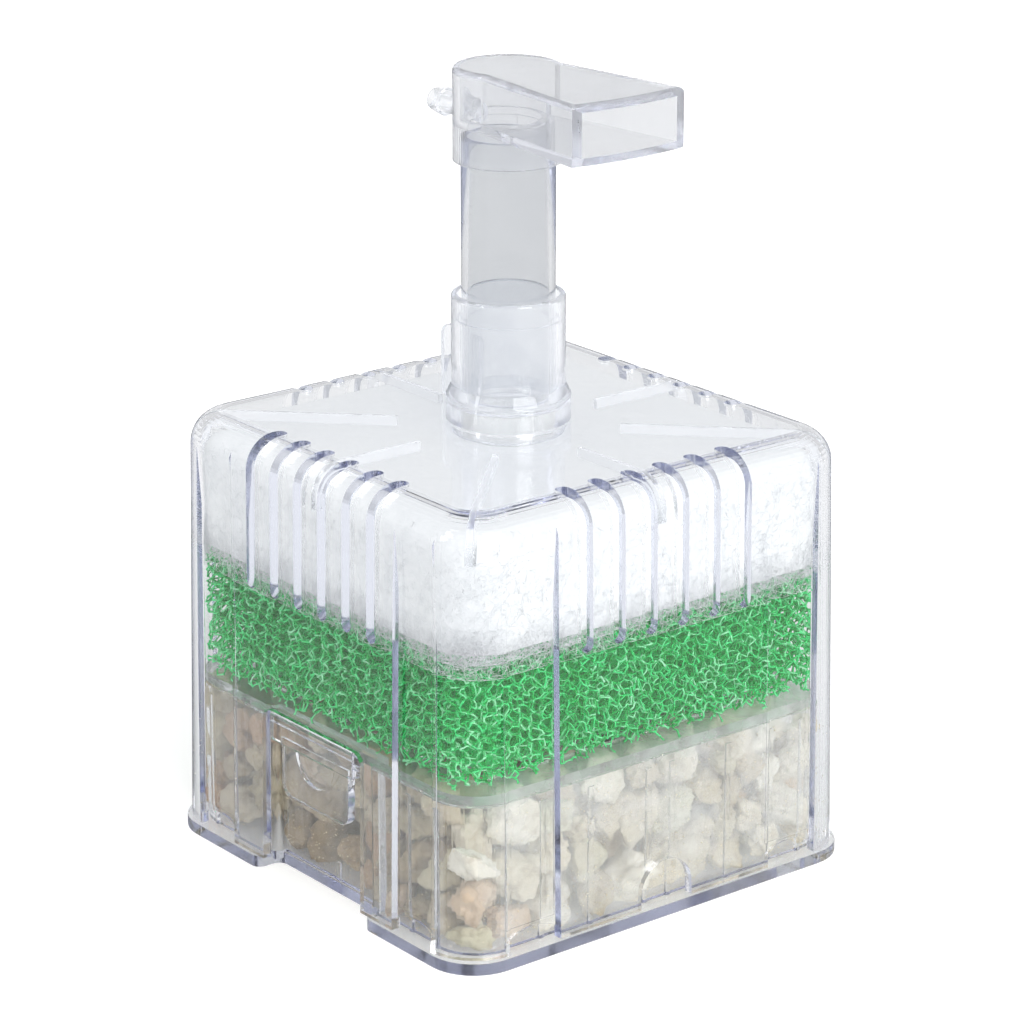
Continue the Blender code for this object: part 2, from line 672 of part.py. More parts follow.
def make_outlet_head():
    """Sleeve over the riser with a flat duct that widens to its mouth."""
    block = flat_solid([bill_outline(0.0, BILL_REACH)], BILL_BOTTOM, BILL_TOP)
    bmesh.ops.dissolve_limit(block, angle_limit=FLAT_ANGLE, verts=block.verts, edges=block.edges)
    rim = [e for e in block.edges if all(v.co.z > BILL_TOP - TOUCH for v in e.verts)]
    bmesh.ops.bevel(block, geom=rim, offset=BILL_FILLET, segments=2, profile=0.5, affect="EDGES")
    head = add_piece("outlet_head", finish_mesh(block, "outlet_head"), CLEAR)
    combine(head, "head_sleeve", cylinder(HEAD_RADIUS, SLEEVE_BOTTOM, BILL_BOTTOM + 1), "UNION")
    duct = flat_solid([bill_outline(HEAD_WALL, BILL_REACH + PAST)],
                      BILL_BOTTOM + HEAD_WALL, BILL_TOP - HEAD_WALL)
    combine(head, "head_duct", duct, "DIFFERENCE")
    bore = cylinder(TUBE_RADIUS + GAP, SLEEVE_BOTTOM - PAST, BILL_BOTTOM)
    combine(head, "head_bore", bore, "DIFFERENCE")
    throat = cylinder(TUBE_BORE, BILL_BOTTOM - PAST, BILL_BOTTOM + HEAD_WALL + PAST)
    combine(head, "head_throat", throat, "DIFFERENCE")
    hole = lie_along_x(cylinder(NIPPLE_RADIUS + GAP, 0, HEAD_RADIUS + PAST, steps=SMALL_STEPS))
    combine(head, "nipple_hole", hole, "DIFFERENCE")
    return head


def lie_along_x(bm):
    """Turn an upright solid to point along -X at the nipple's height."""
    bmesh.ops.rotate(bm, matrix=Matrix.Rotation(-math.pi / 2, 3, "Y"), verts=bm.verts)
    bmesh.ops.translate(bm, vec=(0, 0, NIPPLE_HEIGHT), verts=bm.verts)
    return bm


def make_air_nipple():
    """Barbed nipple for an airline, its bore open into the head."""
    shaft = cylinder(NIPPLE_RADIUS, -NIPPLE_END, -BARB_BACK + 1, steps=SMALL_STEPS)
    mesh = finish_mesh(lie_along_x(shaft), "air_nipple")
    nipple = add_piece("air_nipple", mesh, CLEAR, smooth=True)
    length = BARB_BACK - NIPPLE_TIP
    barb = bmesh.new()
    place = Matrix.Translation((0, 0, -BARB_BACK + length / 2))
    bmesh.ops.create_cone(barb, cap_ends=True, segments=SMALL_STEPS, radius1=BARB_RADIUS,
                          radius2=NIPPLE_RADIUS, depth=length, matrix=place)
    combine(nipple, "nipple_barb", lie_along_x(barb), "UNION")
    passage = cylinder(NIPPLE_BORE, -NIPPLE_END - PAST, -NIPPLE_TIP + PAST, steps=SMALL_STEPS)
    combine(nipple, "nipple_passage", lie_along_x(passage), "DIFFERENCE")
    return nipple


def main():
    make_base_tray()
    make_centre_tube()
    make_stones()
    make_separator_grid()
    make_foam_block()
    make_floss_pad()
    make_cover()
    make_socket()
    make_latch_tab("latch_tab_front", 0)
    make_latch_tab("latch_tab_back", 2)
    make_riser_tube()
    make_outlet_head()
    make_air_nipple()


for leftover in list(bpy.data.objects):
    bpy.data.objects.remove(leftover, do_unlink=True)
PIECES = make_collection("sponge_filter")
CUTTERS = make_collection("cutters")
main()
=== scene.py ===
import math

import bmesh
import bpy
import numpy as np
from mathutils import Matrix, Vector


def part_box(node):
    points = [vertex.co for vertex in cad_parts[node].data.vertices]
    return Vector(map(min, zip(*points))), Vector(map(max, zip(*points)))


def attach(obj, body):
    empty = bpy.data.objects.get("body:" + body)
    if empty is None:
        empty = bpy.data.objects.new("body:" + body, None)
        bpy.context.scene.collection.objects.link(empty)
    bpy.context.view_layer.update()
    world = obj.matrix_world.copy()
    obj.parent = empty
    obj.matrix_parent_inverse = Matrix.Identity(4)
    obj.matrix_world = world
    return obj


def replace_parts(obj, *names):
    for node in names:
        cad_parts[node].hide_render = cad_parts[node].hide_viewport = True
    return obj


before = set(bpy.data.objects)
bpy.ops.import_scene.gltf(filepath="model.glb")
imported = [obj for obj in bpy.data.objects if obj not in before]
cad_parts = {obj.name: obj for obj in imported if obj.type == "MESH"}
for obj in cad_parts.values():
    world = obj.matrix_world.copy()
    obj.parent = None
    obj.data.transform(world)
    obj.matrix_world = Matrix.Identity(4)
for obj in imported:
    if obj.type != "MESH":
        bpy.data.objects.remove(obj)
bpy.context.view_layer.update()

# Lengths are in millimetres until a mesh is made; x and y are measured from the tubes' axis.
MM = 0.001
rng = np.random.default_rng(7)
scene = bpy.context.scene


def box_mm(node):
    low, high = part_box(node)
    return [v / MM for v in low], [v / MM for v in high]


COVER_LOW, COVER_HIGH = box_mm("cover")
TRAY_LOW, TRAY_HIGH = box_mm("base_tray")
GRID_LOW, GRID_HIGH = box_mm("separator_grid")
FOAM_LOW, FOAM_HIGH = box_mm("foam_block")
FLOSS_LOW, FLOSS_HIGH = box_mm("floss_pad")
SOCKET_LOW, SOCKET_HIGH = box_mm("riser_socket")
RISER_LOW, RISER_HIGH = box_mm("riser_tube")
HEAD_LOW, HEAD_HIGH = box_mm("outlet_head")
NIPPLE_LOW, NIPPLE_HIGH = box_mm("air_nipple")
TUBE_LOW, TUBE_HIGH = box_mm("centre_tube")

DRAFT = 0.016
COVER_HALF = 50.0
COVER_WALL = 2.0
COVER_CORNER = 11.3
COVER_FILLET = 6.5
PAST = 4.0
ROUND = 96

# ---------------------------------------------------------------- materials

# Sockets of a Mix node that blends colours; they share their names with its other sockets.
FIRST_COLOUR = 6
SECOND_COLOUR = 7
BLENDED_COLOUR = 2

# Lavender grey for faces marked cut: painted shade on slot walls and channel slopes.
CUT_SHADE_TINT = (0.785, 0.805, 0.87)
CUT_DULL = 0.15
FROST = 0.3
# FILM_AWAY and FILM_SIDE thin the film on the -Y side: painted shade that leaves that side darker.
FILM_AWAY = 0.2
FILM_NOISE = (0.35, 0.68)
FILM_HEIGHT = (2.6, 5.0)
FILM_SIDE = (-46.5, -34.0)
PLASTIC_IOR = 1.49
PLASTIC_BLUE = (0.88, 0.89, 0.95, 1.0)
PASSED_LIGHT = (0.975, 0.978, 0.98, 1.0)
FROST_WHITE = (0.97, 0.98, 1.0)
GRIME = ((0.71, 0.70, 0.65), (0.81, 0.81, 0.78))
# Bluish-white film colours for the socket and head: painted sheen.
PAINTED_SHEEN = ((0.93, 0.95, 1.0), (0.97, 0.98, 1.0))
# Brown that darkens stones: partly their stain, partly painted shade by the front wall.
STAIN_AND_SHADE = (0.42, 0.33, 0.24)


def feed(tree, node, **inputs):
    """Link a node's inputs to other sockets, or set them to numbers or colours."""
    for name, value in inputs.items():
        socket = node.inputs[name.replace("_", " ")]
        if isinstance(value, bpy.types.NodeSocket):
            tree.links.new(value, socket)
        else:
            socket.default_value = value


def new_node(tree, kind, **inputs):
    node = tree.nodes.new("ShaderNode" + kind)
    feed(tree, node, **inputs)
    return node


def tree_of(name):
    material = bpy.data.materials.new(name)
    material.use_nodes = True
    return material, material.node_tree, material.node_tree.nodes["Principled BSDF"]


def noise_node(tree, scale, detail=3.0, roughness=0.55):
    place = new_node(tree, "TexCoord").outputs["Object"]
    return new_node(tree, "TexNoise", Vector=place, Scale=scale, Detail=detail,
                    Roughness=roughness).outputs["Fac"]


def ramp_node(tree, source, stops):
    ramp = new_node(tree, "ValToRGB", Fac=source)
    while len(ramp.color_ramp.elements) < len(stops):
        ramp.color_ramp.elements.new(0.5)
    for element, (place, colour) in zip(ramp.color_ramp.elements, stops):
        element.position = place
        element.color = (*colour, 1.0)
    return ramp.outputs["Color"]


def range_node(tree, source, low, high, start=0.0, end=1.0):
    """A number that runs from low to high as the source goes from start to end."""
    return new_node(tree, "MapRange", Value=source, From_Min=start, From_Max=end,
                    To_Min=low, To_Max=high).outputs["Result"]


def bump_node(tree, height, shader, strength, distance):
    bump = new_node(tree, "Bump", Height=height, Strength=strength, Distance=distance)
    feed(tree, shader, Normal=bump.outputs["Normal"])


def attribute_node(tree, name):
    """A number that the mesh carries, 0 where it doesn't."""
    carried = new_node(tree, "Attribute")
    carried.attribute_name = name
    return carried.outputs["Fac"]


def math_node(tree, operation, *values):
    step = new_node(tree, "Math")
    step.operation = operation
    for socket, value in zip(step.inputs, values):
        if isinstance(value, float):
            socket.default_value = value
        else:
            tree.links.new(value, socket)
    return step.outputs["Value"]


def blend_node(tree, factor, first, second, kind="MIX"):
    """One colour over another; the factor may be a plain number and the second a plain colour."""
    blend = new_node(tree, "Mix")
    blend.data_type = "RGBA"
    blend.blend_type = kind
    feed(tree, blend, Factor=factor)
    tree.links.new(first, blend.inputs[FIRST_COLOUR])
    if isinstance(second, tuple):
        blend.inputs[SECOND_COLOUR].default_value = (*second, 1.0)
    else:
        tree.links.new(second, blend.inputs[SECOND_COLOUR])
    return blend.outputs[BLENDED_COLOUR]


def place_range(tree, axis, start, end, low=0.0, high=1.0):
    """A number that runs smoothly from low to high as the place on the object goes from start to end."""
    where = new_node(tree, "TexCoord").outputs["Object"]
    split = new_node(tree, "SeparateXYZ", Vector=where)
    result = range_node(tree, split.outputs[axis], low, high, start * MM, end * MM)
    result.node.interpolation_type = "SMOOTHSTEP"
    return result


def mix_shaders(tree, factor, first, second):
    mix = new_node(tree, "MixShader")
    for socket, source in zip(mix.inputs, (factor, first, second)):
        tree.links.new(source, socket)
    return mix.outputs["Shader"]


def clear_plastic(name, pale, dark, rough, absorb, film=None, grime_and_sheen=GRIME):
    """Clear moulded plastic that lets lamps through and turns blue where it is thick.

    Faces marked cut, the slot walls and channel slopes, are blended towards lavender grey as painted
    shade and made a little dull, and faces marked frost are whitened. film is the least and most of a
    film of the given colours, grime on the tray and grid and a painted sheen on the socket and head;
    it is thinner near the floor, and thinner on the -Y side as painted shade.
    """
    material, tree, shader = tree_of(name)
    cut = attribute_node(tree, "cut")
    tint = ramp_node(tree, noise_node(tree, 38.0), [(0.35, dark), (0.65, pale)])
    spread = range_node(tree, noise_node(tree, 160.0, 5.0), rough * 0.4, rough * 1.6)
    dull = math_node(tree, "MULTIPLY_ADD", cut, CUT_DULL, spread)
    # Cut faces are blended towards lavender grey: painted shade.
    feed(tree, shader, Base_Color=blend_node(tree, cut, tint, CUT_SHADE_TINT), Roughness=dull,
         Transmission_Weight=1.0, IOR=PLASTIC_IOR)
    bump_node(tree, noise_node(tree, 60.0, 2.0), shader, 0.12, 0.0004)
    clear = new_node(tree, "BsdfTransparent", Color=PASSED_LIGHT)
    path = new_node(tree, "LightPath").outputs
    either = math_node(tree, "MAXIMUM", path["Is Shadow Ray"], path["Is Diffuse Ray"])
    film_pattern = noise_node(tree, 75.0, 6.0, 0.7)
    tone = ramp_node(tree, film_pattern, [(0.35, grime_and_sheen[0]), (0.65, grime_and_sheen[1])])
    frosty = attribute_node(tree, "frost")
    # The film's diffuse layer: grime on the tray and grid, painted sheen on the socket and head, white on
    # frost faces.
    dust = new_node(tree, "BsdfDiffuse", Color=blend_node(tree, frosty, tone, FROST_WHITE))
    amount = math_node(tree, "MULTIPLY", frosty, FROST)
    if film:
        coat = range_node(tree, film_pattern, *film, *FILM_NOISE)
        high = place_range(tree, "Z", *FILM_HEIGHT)
        # The film thins towards -Y: painted shade that leaves that side darker.
        side = place_range(tree, "Y", *FILM_SIDE, FILM_AWAY)
        share = math_node(tree, "MULTIPLY", high, side)
        amount = math_node(tree, "MULTIPLY_ADD", share, coat, amount)
    with_film = mix_shaders(tree, amount, shader.outputs["BSDF"], dust.outputs["BSDF"])
    volume = new_node(tree, "VolumeAbsorption", Color=PLASTIC_BLUE, Density=absorb)
    feed(tree, tree.nodes["Material Output"], Volume=volume.outputs["Volume"],
         Surface=mix_shaders(tree, either, with_film, clear.outputs["BSDF"]))
    return material


def foam_green(name):
    """Glossy green strands: outside, pale ones among mid-green ones, partly the strands' colour and partly
    painted highlight; behind, mid-green ones lightened as painted light in their shade.
    """
    material, tree, shader = tree_of(name)
    half = range_node(tree, noise_node(tree, 110.0, 4.0), 0.0, 0.5)
    island = new_node(tree, "NewGeometry").outputs["Random Per Island"]
    mixed = math_node(tree, "MULTIPLY_ADD", island, 0.5, half)
    strand = ramp_node(tree, mixed,
                       [(0.30, (0.018, 0.54, 0.10)), (0.52, (0.06, 0.86, 0.25)), (0.80, (0.46, 0.96, 0.60))])
    inner = ramp_node(tree, mixed, [(0.35, (0.014, 0.72, 0.13)), (0.75, (0.06, 0.88, 0.26))])
    # depth blends from the outer strands, with their painted highlights, to the strands behind, lightened as
    # painted light.
    both = blend_node(tree, attribute_node(tree, "depth"), strand, inner)
    grain = noise_node(tree, 900.0, 3.0)
    feed(tree, shader, Base_Color=both, Roughness=range_node(tree, grain, 0.25, 0.5))
    bump_node(tree, grain, shader, 0.3, 0.0001)
    return material


def floss_white(name, low, high, strength):
    """White wool with a fine grain and a little sheen."""
    material, tree, shader = tree_of(name)
    grain = noise_node(tree, 700.0, 6.0, 0.7)
    feed(tree, shader, Base_Color=ramp_node(tree, grain, [(0.3, low), (0.7, high)]),
         Roughness=range_node(tree, grain, 0.8, 1.0), Sheen_Weight=0.2)
    bump_node(tree, grain, shader, strength, 0.0006)
    return material


def stone_stuff(name):
    """Stone of seven kinds by a carried tone, blotched, pitted, and browned by carried stain and painted
    shade.
    """
    material, tree, shader = tree_of(name)
    kinds = ramp_node(tree, attribute_node(tree, "tone"),
                      [(0.0, (0.80, 0.74, 0.60)), (0.22, (0.66, 0.59, 0.44)), (0.40, (0.86, 0.83, 0.73)),
                       (0.58, (0.55, 0.47, 0.33)), (0.72, (0.70, 0.70, 0.55)), (0.84, (0.62, 0.37, 0.18)),
                       (0.93, (0.88, 0.87, 0.81))])
    blotch = noise_node(tree, 260.0, 6.0, 0.65)
    shade = ramp_node(tree, blotch,
                      [(0.30, (0.50, 0.42, 0.32)), (0.48, (0.95, 0.92, 0.84)), (0.70, (1.0, 0.97, 0.90))])
    mottled = blend_node(tree, 0.85, kinds, shade, "MULTIPLY")
    stained_and_shaded = blend_node(tree, attribute_node(tree, "stain_and_shade"), mottled, STAIN_AND_SHADE, "MULTIPLY")
    feed(tree, shader, Base_Color=stained_and_shaded, Roughness=range_node(tree, blotch, 0.7, 0.95))
    bump_node(tree, noise_node(tree, 1100.0, 4.0, 0.6), shader, 0.6, 0.0004)
    return material


COVER_PLASTIC = clear_plastic("cover_plastic", (0.975, 0.978, 0.98), (0.95, 0.955, 0.96), 0.03, 60.0)
TRAY_PLASTIC = clear_plastic("tray_plastic", (0.97, 0.975, 0.98), (0.94, 0.95, 0.96), 0.07, 36.0,
                             (0.14, 0.38))
GRID_PLASTIC = clear_plastic("grid_plastic", (0.97, 0.975, 0.98), (0.95, 0.96, 0.965), 0.05, 60.0,
                             (0.20, 0.40))
RISER_PLASTIC = clear_plastic("riser_plastic", (0.81, 0.82, 0.83), (0.78, 0.79, 0.805), 0.03, 40.0)
# The socket and head carry a thin bluish-white film: painted sheen that whitens them as if they reflected
# more light.
SOCKET_PLASTIC = clear_plastic("socket_plastic", (0.99, 0.992, 0.995), (0.975, 0.98, 0.985), 0.03, 45.0,
                               (0.10, 0.20), PAINTED_SHEEN)
HEAD_PLASTIC = clear_plastic("head_plastic", (0.855, 0.86, 0.872), (0.835, 0.84, 0.855), 0.03, 34.0,
                             (0.04, 0.10), PAINTED_SHEEN)
FOAM = foam_green("foam_strands")
FLOSS = floss_white("floss_body", (0.84, 0.86, 0.865), (0.93, 0.94, 0.945), 0.2)
FIBRE = floss_white("floss_fibre", (0.86, 0.88, 0.90), (0.95, 0.96, 0.97), 0.1)
ROCK = stone_stuff("rock")
DUST = stone_stuff("dust")

# ---------------------------------------------------------------- mesh helpers

MARKS = ("plain", "cut", "frost")


def add_piece(name, mesh, material, body, smooth_angle=None):
    piece = bpy.data.objects.new(name, mesh)
    scene.collection.objects.link(piece)
    mesh.materials.clear()
    mesh.materials.append(material)
    if smooth_angle is not None:
        mesh.shade_smooth()
        mesh.set_sharp_from_angle(angle=math.radians(smooth_angle))
    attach(piece, body)
    return piece


def arrays_mesh(name, points, faces):
    """A mesh from points in millimetres and lists of faces."""
    mesh = bpy.data.meshes.new(name)
    mesh.from_pydata((np.asarray(points) * MM).tolist(), [], faces)
    return mesh


def arc(centre, radius, start, end, steps):
    angles = [math.radians(start + (end - start) * i / steps) for i in range(steps + 1)]
    return [(centre[0] + radius * math.cos(a), centre[1] + radius * math.sin(a)) for a in angles]


def rounded_outline(corners, steps=6):
    """Outline through (x, y, radius) corners, each rounded by its radius."""
    points = []
    for index, (x, y, radius) in enumerate(corners):
        corner = Vector((x, y))
        if radius <= 0:
            points.append((x, y))
            continue
        before = Vector(corners[index - 1][:2]) - corner
        after = Vector(corners[(index + 1) % len(corners)][:2]) - corner
        before.normalize()
        after.normalize()
        half_angle = before.angle(after) / 2
        middle = (before + after).normalized()
        centre = corner + middle * (radius / math.sin(half_angle))
        first = corner + before * (radius / math.tan(half_angle)) - centre
        last = corner + after * (radius / math.tan(half_angle)) - centre
        sweep = first.angle_signed(last)
        for i in range(steps + 1):
            turned = first.copy()
            turned.rotate(Matrix.Rotation(-sweep * i / steps, 2))
            points.append(tuple(centre + turned))
    return points


def rectangle(x0, x1, y0, y1, radius=0.0, steps=6):
    return rounded_outline([(x0, y0, radius), (x1, y0, radius), (x1, y1, radius), (x0, y1, radius)], steps)


def circle(radius, steps=ROUND):
    return arc((0, 0), radius, 0, 360, steps)[:-1]


def flat_solid(outlines, bottom, top):
    """A bmesh of the flat outlines between two heights; outlines inside another are holes."""
    curve = bpy.data.curves.new("outline", "CURVE")
    curve.dimensions = "2D"
    curve.fill_mode = "BOTH"
    curve.extrude = (top - bottom) / 2
    for outline in outlines:
        spline = curve.splines.new("POLY")
        spline.points.add(len(outline) - 1)
        for point, (x, y) in zip(spline.points, outline):
            point.co = (x, y, 0.0, 1.0)
        spline.use_cyclic_u = True
    holder = bpy.data.objects.new("outline", curve)
    scene.collection.objects.link(holder)
    evaluated = holder.evaluated_get(bpy.context.evaluated_depsgraph_get())
    mesh = bpy.data.meshes.new_from_object(evaluated)
    bm = bmesh.new()
    bm.from_mesh(mesh)
    bmesh.ops.remove_doubles(bm, verts=bm.verts, dist=0.001)
    bmesh.ops.dissolve_limit(bm, angle_limit=0.01, verts=bm.verts, edges=bm.edges)
    bmesh.ops.translate(bm, vec=(0, 0, (top + bottom) / 2), verts=bm.verts)
    bmesh.ops.recalc_face_normals(bm, faces=bm.faces)
    bpy.data.objects.remove(holder)
    bpy.data.curves.remove(curve)
    bpy.data.meshes.remove(mesh)
    return bm


def append(target, source):
    mesh = bpy.data.meshes.new("moved")
    source.to_mesh(mesh)
    source.free()
    target.from_mesh(mesh)
    bpy.data.meshes.remove(mesh)


def turn_about(bm, degrees, axis):
    bmesh.ops.rotate(bm, matrix=Matrix.Rotation(math.radians(degrees), 3, axis), verts=bm.verts)
    return bm


def on_side(bm, side):
    """Stand a flat solid up against a side of the box, leaning with its walls."""
    for vert in bm.verts:
        along, height, distance = vert.co
        vert.co = (along, -(distance - DRAFT * height), height)
    return turn_about(bm, 90 * side, "Z")


def turned(profile, steps=ROUND):
    """A bmesh of a closed (radius, height) profile swept round the Z axis."""
    bm = bmesh.new()
    rings = []
    for i in range(steps):
        angle = math.tau * i / steps
        rings.append([bm.verts.new((r * math.cos(angle), r * math.sin(angle), z)) for r, z in profile])
    for i in range(steps):
        here = rings[i]
        there = rings[(i + 1) % steps]
        for j in range(len(profile)):
            k = (j + 1) % len(profile)
            bm.faces.new((here[j], there[j], there[k], here[k]))
    bmesh.ops.recalc_face_normals(bm, faces=bm.faces)
    return bm


def rod(radius, low, high, steps=ROUND):
    """An upright cylinder, with a pinhole down its axis."""
    return turned([(radius, low), (0.01, low), (0.01, high), (radius, high)], steps)


def soft_box(half_at, low, high, corner, rim, clamp=False):
    """A box with (radius, segments) roundings on its uprights and top rim."""
    bm = bmesh.new()
    bmesh.ops.create_cube(bm, size=1.0)
    for vert in bm.verts:
        height = high if vert.co.z > 0 else low
        half = half_at(height)
        vert.co = (math.copysign(half, vert.co.x), math.copysign(half, vert.co.y), height)
    for (radius, segments), chosen in (
            (corner, lambda a, b: abs(a.co.z - b.co.z) > 1),
            (rim, lambda a, b: min(a.co.z, b.co.z) > high - 0.01)):
        bmesh.ops.bevel(bm, geom=[e for e in bm.edges if chosen(*e.verts)], offset=radius,
                        segments=segments, profile=0.5, affect="EDGES", clamp_overlap=clamp)
    return bm


def metres(bm, name):
    bmesh.ops.recalc_face_normals(bm, faces=bm.faces)
    bmesh.ops.scale(bm, vec=(MM, MM, MM), verts=bm.verts)
    mesh = bpy.data.meshes.new(name)
    bm.to_mesh(mesh)
    bm.free()
    return mesh


def mark(bm, kind, chosen=None):
    """Mark faces as cut or frosted; carve turns the marks into numbers that the mesh carries."""
    for face in bm.faces:
        if chosen is None or chosen(face):
            face.material_index = MARKS.index(kind)
    return bm


def carry(mesh, name, values, domain):
    layer = mesh.attributes.new(name, "FLOAT", domain)
    layer.data.foreach_set("value", np.asarray(values, dtype=np.float32))


def carve(name, blank, steps, bevel=0.0, wall=0.0, segments=2):
    """The blank with each (solid, operation) step done to it, then its sharp edges eased."""
    base = metres(blank, name)
    for _ in MARKS:
        base.materials.append(None)
    work = bpy.data.objects.new(name, base)
    scene.collection.objects.link(work)
    helpers = []
    if wall > 0:
        shell = work.modifiers.new("wall", "SOLIDIFY")
        shell.thickness = wall * MM
        shell.offset = -1.0
        shell.use_even_offset = True
    for index, (solid, operation) in enumerate(steps):
        helper = bpy.data.objects.new(f"{name}_{index}", metres(solid, f"{name}_{index}"))
        scene.collection.objects.link(helper)
        helpers.append(helper)
        boolean = work.modifiers.new(f"step_{index}", "BOOLEAN")
        boolean.operation = operation
        boolean.solver = "EXACT"
        boolean.material_mode = "INDEX"
        boolean.object = helper
    if bevel > 0:
        weld = work.modifiers.new("weld", "WELD")
        weld.merge_threshold = 0.00002
        ease = work.modifiers.new("ease", "BEVEL")
        ease.width = bevel * MM
        ease.segments = segments
        ease.limit_method = "ANGLE"
        ease.angle_limit = math.radians(34)
        ease.use_clamp_overlap = True
        ease.miter_outer = "MITER_ARC"
        even = work.modifiers.new("even", "WEIGHTED_NORMAL")
        even.keep_sharp = True
    evaluated = work.evaluated_get(bpy.context.evaluated_depsgraph_get())
    mesh = bpy.data.meshes.new_from_object(evaluated)
    for helper in helpers + [work]:
        bpy.data.objects.remove(helper)
    marks = np.zeros(len(mesh.polygons), dtype=np.int32)
    mesh.polygons.foreach_get("material_index", marks)
    for number, kind in enumerate(MARKS[1:], 1):
        carry(mesh, kind, marks == number, "FACE")
    mesh.polygons.foreach_set("material_index", np.zeros_like(marks))
    return mesh


# ---------------------------------------------------------------- the cover

SLOTS = 6
SLOT_PITCH = 7.94
SLOT_WIDTH = 3.0
SLOT_FLOOR = 59.5
SLOT_REACH = 41.5
CHANNEL_NEAR = 26.7
CHANNEL_FAR = 39.2
CHANNEL_DEPTH = 1.1
CHANNEL_SLOPE = 0.5
CHANNEL_BACK = 0.45
CHANNEL_FADE = (72.0, 85.5)
CHANNEL_BACK_HEIGHT = (7.2, 82.5)
CENTRE_HOLE = 11.6
SCALLOP_FOOT = 5.0
SCALLOP_CROWN = 1.7
RIB_HALF = 0.6
RIB_NEAR = 22.3
RIB_UNDERSIDE = 86.2
RIB_LEG_FOOT = 80.8
RIB_LEG_DEPTH = 2.6
RIB_ROOM = 0.5
LATCH_ROUND = 2.6
PRY_HALF = 6.5
PRY_TOP = 11.8
LATCH_HALF = 16.5
LATCH_TOP = 35.5


def cover_blank(foot, top):
    bm = soft_box(lambda height: COVER_HALF - DRAFT * height, foot, top,
                  (COVER_CORNER, 18), (COVER_FILLET, 10), True)
    floor = [f for f in bm.faces if max(v.co.z for v in f.verts) < foot + 0.01]
    bmesh.ops.delete(bm, geom=floor, context="FACES_ONLY")
    return bm


def slot_cutter(place, side, top):
    low = place - SLOT_WIDTH / 2
    high = place + SLOT_WIDTH / 2
    end = SLOT_WIDTH / 2 - 0.02
    outline = rounded_outline([(low, SLOT_FLOOR, end), (high, SLOT_FLOOR, end),
                               (high, top + PAST, 0), (low, top + PAST, 0)], 8)
    bm = flat_solid([outline], SLOT_REACH, COVER_HALF + PAST)
    inner = [e for e in bm.edges
             if all(v.co.z < SLOT_REACH + 0.01 for v in e.verts)
             and abs(e.verts[0].co.y - e.verts[1].co.y) > 10]
    bmesh.ops.bevel(bm, geom=inner, offset=end, segments=7, profile=0.5, affect="EDGES")
    return on_side(bm, side)


def scallop_outline(sign):
    middle = (CHANNEL_NEAR + CHANNEL_FAR) / 2
    half = (CHANNEL_FAR - CHANNEL_NEAR) / 2
    crown = []
    for i in range(17):
        along = half - 2 * half * i / 16
        crown.append((sign * middle + along, SCALLOP_FOOT + SCALLOP_CROWN * (1 - (along / half) ** 2)))
    return [(sign * middle - half, 0), (sign * middle + half, 0)] + crown


def channel_cutter(sign, side, top):
    """A shallow upright groove with sloping sides, fading out near the top."""
    face = COVER_HALF
    outline = [(CHANNEL_NEAR, -face - 0.001), (CHANNEL_NEAR + CHANNEL_SLOPE, -face + CHANNEL_DEPTH),
               (CHANNEL_FAR - CHANNEL_SLOPE, -face + CHANNEL_DEPTH), (CHANNEL_FAR, -face - 0.001),
               (CHANNEL_FAR, -face - PAST), (CHANNEL_NEAR, -face - PAST)]
    outline = [(sign * x, y) for x, y in outline]
    bm = flat_solid([outline], -PAST, top + PAST)
    mark(bm, "cut", lambda face: abs(face.normal.x) > 0.1 and abs(face.normal.y) > 0.1)
    bmesh.ops.bisect_plane(bm, geom=bm.verts[:] + bm.edges[:] + bm.faces[:],
                           plane_co=(0, 0, CHANNEL_FADE[0]), plane_no=(0, 0, 1))
    rise = (top + PAST - CHANNEL_FADE[0]) / (CHANNEL_FADE[1] - CHANNEL_FADE[0])
    for vert in bm.verts:
        if vert.co.z > top and vert.co.y > -face:
            vert.co.y -= CHANNEL_DEPTH * rise
        vert.co.y += DRAFT * vert.co.z
    return turn_about(bm, 90 * side, "Z")


def channel_back(sign, side):
    """The wall behind a channel, which bulges in a little and less towards the top."""
    inner = COVER_HALF - COVER_WALL
    outline = [(CHANNEL_NEAR + 0.4, -inner + CHANNEL_BACK), (CHANNEL_FAR - 0.4, -inner + CHANNEL_BACK),
               (CHANNEL_FAR, -inner - 0.3), (CHANNEL_NEAR, -inner - 0.3)]
    low, high = CHANNEL_BACK_HEIGHT
    bm = flat_solid([[(sign * x, y) for x, y in outline]], low, high)
    for vert in bm.verts:
        if vert.co.z > high - 1 and vert.co.y > -inner:
            vert.co.y = -inner - 0.05
        vert.co.y += DRAFT * vert.co.z
    return turn_about(bm, 90 * side, "Z")


def cover_ribs(top, room=0.0):
    """Eight L-shaped ribs under the top plate, or their pockets with some room around."""
    leg_foot = RIB_LEG_FOOT - room
    wall = COVER_HALF - DRAFT * leg_foot - COVER_WALL
    flat = wall + COVER_WALL - COVER_CORNER
    diagonal_extra = flat * math.sqrt(2) + (COVER_CORNER - COVER_WALL) - wall
    plate = top - COVER_WALL
    ribs = bmesh.new()
    for eighth in range(8):
        end = wall + (diagonal_extra if eighth % 2 else 0.0)
        inside = end - RIB_LEG_DEPTH - room
        outline = [(RIB_NEAR, RIB_UNDERSIDE), (inside - 0.8, RIB_UNDERSIDE), (inside, RIB_UNDERSIDE - 0.8),
                   (inside, leg_foot), (end + 0.6, leg_foot), (end + 0.6, RIB_UNDERSIDE - 1.4),
                   (end - 1.4, plate + 0.6), (RIB_NEAR, plate + 0.6)]
        rib = flat_solid([outline], -RIB_HALF - room, RIB_HALF + room)
        turn_about(rib, 90, "X")
        append(ribs, turn_about(rib, 45 * eighth, "Z"))
    return mark(ribs, "frost")


